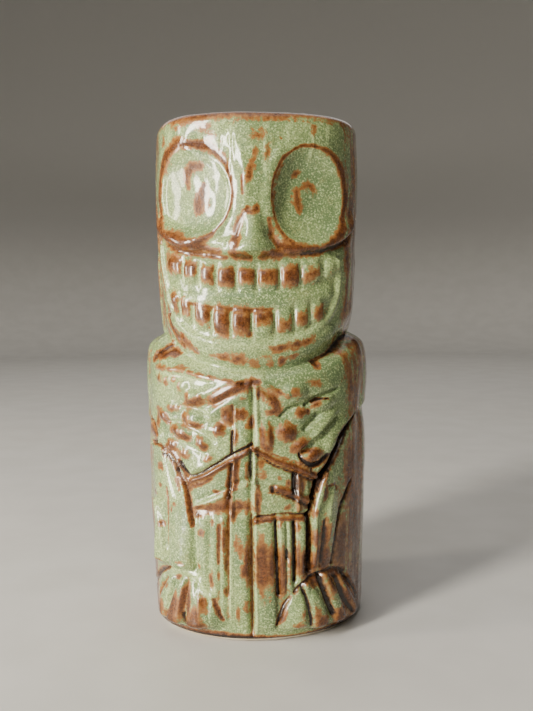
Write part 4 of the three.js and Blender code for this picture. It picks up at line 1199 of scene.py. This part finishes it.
def green_glaze_material():
    """Green where the glaze lies thick, rust and brown where it runs thin over an edge; painted shade in
    brown-black, painted highlight in pale green.
    """
    m = Nodes("green_glaze_breaking_brown")
    fleck = m.noise(0.56, 2.0, 0.55)
    speck = m.noise(0.38, 1.0, 0.5, shift=21.0)
    mottle = m.noise(2.4, 4.0, 0.6, shift=3.0)
    cloud = m.noise(17, 3.0, 0.5, shift=7.0)
    ragged = m.noise(1.7, 6.0, 0.7, shift=11.0)
    upright = m.noise(1.5, 4.0, 0.6, stretch=9.0, shift=5.0)

    green = m.blend(m.span(cloud, 0.35, 0.65), GREEN_DEEP, GREEN)
    green = m.blend(m.span(mottle, 0.5, 0.72, 0.0, 0.4), green, OLIVE)
    # Pale green where the glaze lies thick, and as painted highlight on some lit ridges.
    green = m.blend(m.math("MULTIPLY", m.layer("pale"), 0.8), green, GREEN_PALE_AND_HIGHLIGHT)
    green = m.blend(m.span(fleck, 0.51, 0.65, 0.0, 0.68), green, GREEN_FLECK)
    green = m.blend(m.span(fleck, 0.49, 0.35, 0.0, 0.85), green, GREEN_DEEP)
    green = m.blend(m.span(speck, 0.42, 0.28, 0.0, 0.8), green, GREEN_SHADOW)

    brown = m.blend(m.span(fleck, 0.36, 0.6), UMBER, BROWN)
    brown = m.blend(m.span(upright, 0.6, 0.42, 0.0, 0.5), brown, UMBER)

    thin = m.math("ADD", m.layer("brown"), m.swing(ragged, 1.2))
    thin = m.math("ADD", thin, m.swing(fleck, 0.4))
    thin = m.math("ADD", thin, m.span(cloud, 0.62, 0.42, 0.0, 0.16))
    streaks = m.math("MULTIPLY", m.math("SUBTRACT", upright, 0.5), m.layer("streak"))
    thin = m.math("ADD", thin, m.math("MULTIPLY", streaks, 1.6))
    colour = m.blend(m.span(thin, 0.38, 0.56, 0.0, 0.92), green, RUST)
    colour = m.blend(m.span(thin, 0.5, 0.86), colour, brown)
    # Painted shade: the brown-black layer darkens cuts and pits to brown-black; at the lip and foot it
    # is brown-black glaze.
    deep = m.math("ADD", m.layer("dark"), m.swing(ragged, 0.7))
    colour = m.blend(m.span(deep, 0.34, 0.72), colour, BROWN_BLACK_AND_SHADE)
    m.link(colour, m.shader.inputs["Base Color"])

    m.link(m.span(mottle, 0.3, 0.7, 0.2, 0.32), m.shader.inputs["Roughness"])
    m.shader.inputs["Specular IOR Level"].default_value = 0.2
    m.shader.inputs["Coat Weight"].default_value = 0.85
    m.shader.inputs["Coat Roughness"].default_value = 0.1
    normal = m.bump(fleck, 0.18, 0.7)
    normal = m.bump(mottle, 0.3, 0.45, normal)
    normal = m.bump(m.math("MULTIPLY", upright, m.layer("streak")), 0.6, 0.8, normal)
    m.link(normal, m.shader.inputs["Normal"])
    return m.material


def liner_material():
    m = Nodes("liner_glaze_satin")
    mottle = m.noise(3.0, 4.0, 0.6)
    cloud = m.noise(14, 3.0, 0.5, shift=4.0)
    colour = m.blend(m.span(cloud, 0.3, 0.7), OLIVE, GREEN_DEEP)
    colour = m.blend(m.span(mottle, 0.55, 0.75, 0.0, 0.5), colour, BROWN)
    m.link(colour, m.shader.inputs["Base Color"])
    m.link(m.span(mottle, 0.3, 0.7, 0.16, 0.26), m.shader.inputs["Roughness"])
    m.link(m.bump(mottle, 0.2, 0.4), m.shader.inputs["Normal"])
    return m.material


def clay_material():
    m = Nodes("bare_fired_stoneware")
    grain = m.noise(0.6, 4.0, 0.65)
    cloud = m.noise(9, 3.0, 0.5, shift=2.0)
    colour = m.blend(m.span(cloud, 0.3, 0.7), CLAY, CLAY_PALE)
    colour = m.blend(m.span(grain, 0.6, 0.75, 0.0, 0.6), colour, CLAY_GRIT)
    m.link(colour, m.shader.inputs["Base Color"])
    m.link(m.span(grain, 0.3, 0.7, 0.75, 0.95), m.shader.inputs["Roughness"])
    m.link(m.bump(grain, 0.2, 0.5), m.shader.inputs["Normal"])
    return m.material


def floor_material():
    m = Nodes("pale_floor")
    grain = m.noise(30, 3.0, 0.5)
    colour = m.blend(m.span(grain, 0.3, 0.7), FLOOR_GREY, FLOOR_PALE)
    colour = m.blend(m.layer("wall"), colour, WALL_GREY)
    m.link(colour, m.shader.inputs["Base Color"])
    m.shader.inputs["Roughness"].default_value = 0.6
    return m.material


# ---- The scene ----

def dress(piece, material, node):
    """Gives a piece its material, parents it to the root body and hides the named CAD node."""
    piece.data.materials.append(material)
    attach(piece, "root")
    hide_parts(node)


CAMERA_PLACE = (3.5, -299.0, 116.0)
CAMERA_LOOKS_DOWN = 4.0
CAMERA_ROLL = -0.52
LENS_MM, SENSOR_MM = 40.5, 36.0


def add_camera():
    """In front of the face at the height of the mouth, looking slightly down."""
    data = bpy.data.cameras.new("camera")
    data.sensor_width = SENSOR_MM
    data.lens = LENS_MM
    data.dof.use_dof = False
    camera = bpy.data.objects.new("camera", data)
    tilt = Matrix.Rotation(math.radians(90 - CAMERA_LOOKS_DOWN), 4, "X")
    roll = Matrix.Rotation(math.radians(CAMERA_ROLL), 4, "Z")
    camera.matrix_world = Matrix.Translation(Vector(CAMERA_PLACE) * METRES) @ tilt @ roll
    bpy.context.scene.collection.objects.link(camera)
    bpy.context.scene.camera = camera


WARM_WHITE = (1.0, 0.97, 0.92)
DAYLIGHT = (1.0, 0.94, 0.82)
LATE_SUN = (1.0, 0.91, 0.74)
SOFTBOXES = [  # name, azimuth, elevation, distance, width and height, watts, colour
    ("window", -46, 10.2, 0.9, (0.15, 0.46), 15.5, DAYLIGHT),
    ("side_window", -78, 10.2, 0.9, (0.13, 0.46), 5.8, LATE_SUN),
    ("high_window", -44, 32, 0.9, (0.13, 0.22), 4.6, DAYLIGHT),
    ("front_fill", -12, 35, 1.2, (0.7, 0.5), 1.8, WARM_WHITE),
    ("top", -20, 75, 1.0, (0.7, 0.7), 1.9, WARM_WHITE),
    ("back_fill", -178, 52, 1.3, (1.6, 1.3), 6.5, WARM_WHITE),
]


def add_softbox(name, azimuth, elevation, distance, size, watts, colour):
    """An area light that faces the mug. Azimuth 0 is in front of the face, positive to +X."""
    target = Vector((0, 0, 0.085))
    a, e = math.radians(azimuth), math.radians(elevation)
    spot = target + distance * Vector((math.sin(a) * math.cos(e), -math.cos(a) * math.cos(e),
                                       math.sin(e)))
    data = bpy.data.lights.new(name, "AREA")
    data.shape = "RECTANGLE"
    data.size, data.size_y = size
    data.energy = watts
    data.color = colour
    light = bpy.data.objects.new(name, data)
    light.location = spot
    light.rotation_euler = (target - spot).to_track_quat("-Z", "Y").to_euler()
    bpy.context.scene.collection.objects.link(light)


def add_world():
    world = bpy.data.worlds.new("studio")
    world.use_nodes = True
    background = world.node_tree.nodes["Background"]
    background.inputs["Color"].default_value = (1.0, 0.96, 0.90, 1)
    background.inputs["Strength"].default_value = 0.07
    bpy.context.scene.world = world


def add_floor():
    """A round pale floor under the mug that curves up into a greyer wall all round."""
    flat, bend, rise, spokes, bend_steps = 1.3, 0.5, 1.5, 96, 16
    section = [(0.35, 0.0), (flat, 0.0)]
    for step in range(1, bend_steps + 1):
        turn = math.pi / 2 * step / bend_steps
        section.append((flat + bend * math.sin(turn), bend * (1 - math.cos(turn))))
    section.append((flat + bend, rise))
    verts = [(0.0, 0.0, 0.0)]
    for radius, z in section:
        for k in range(spokes):
            turn = 2 * math.pi * k / spokes
            verts.append((radius * math.cos(turn), radius * math.sin(turn), z))
    faces = [(0, 1 + k, 1 + (k + 1) % spokes) for k in range(spokes)]
    for ring in range(len(section) - 1):
        a, b = 1 + ring * spokes, 1 + (ring + 1) * spokes
        faces += [(a + k, b + k, b + (k + 1) % spokes, a + (k + 1) % spokes) for k in range(spokes)]
    mesh = bpy.data.meshes.new("floor")
    mesh.from_pydata(verts, [], faces)
    mesh.polygons.foreach_set("use_smooth", [True] * len(faces))
    heights = np.array([z for _, _, z in verts])
    wall = mesh.attributes.new("wall", "FLOAT", "POINT")
    wall.data.foreach_set("value", smoothstep(heights, 0, 0.35))
    mesh.materials.append(floor_material())
    floor = bpy.data.objects.new("floor", mesh)
    bpy.context.scene.collection.objects.link(floor)


add_camera()
add_world()
for softbox in SOFTBOXES:
    add_softbox(*softbox)
add_floor()

dress(clay_body(), clay_material(), "clay_body")
dress(outer_glaze(), green_glaze_material(), "outer_glaze")
dress(liner_glaze(), liner_material(), "liner_glaze")
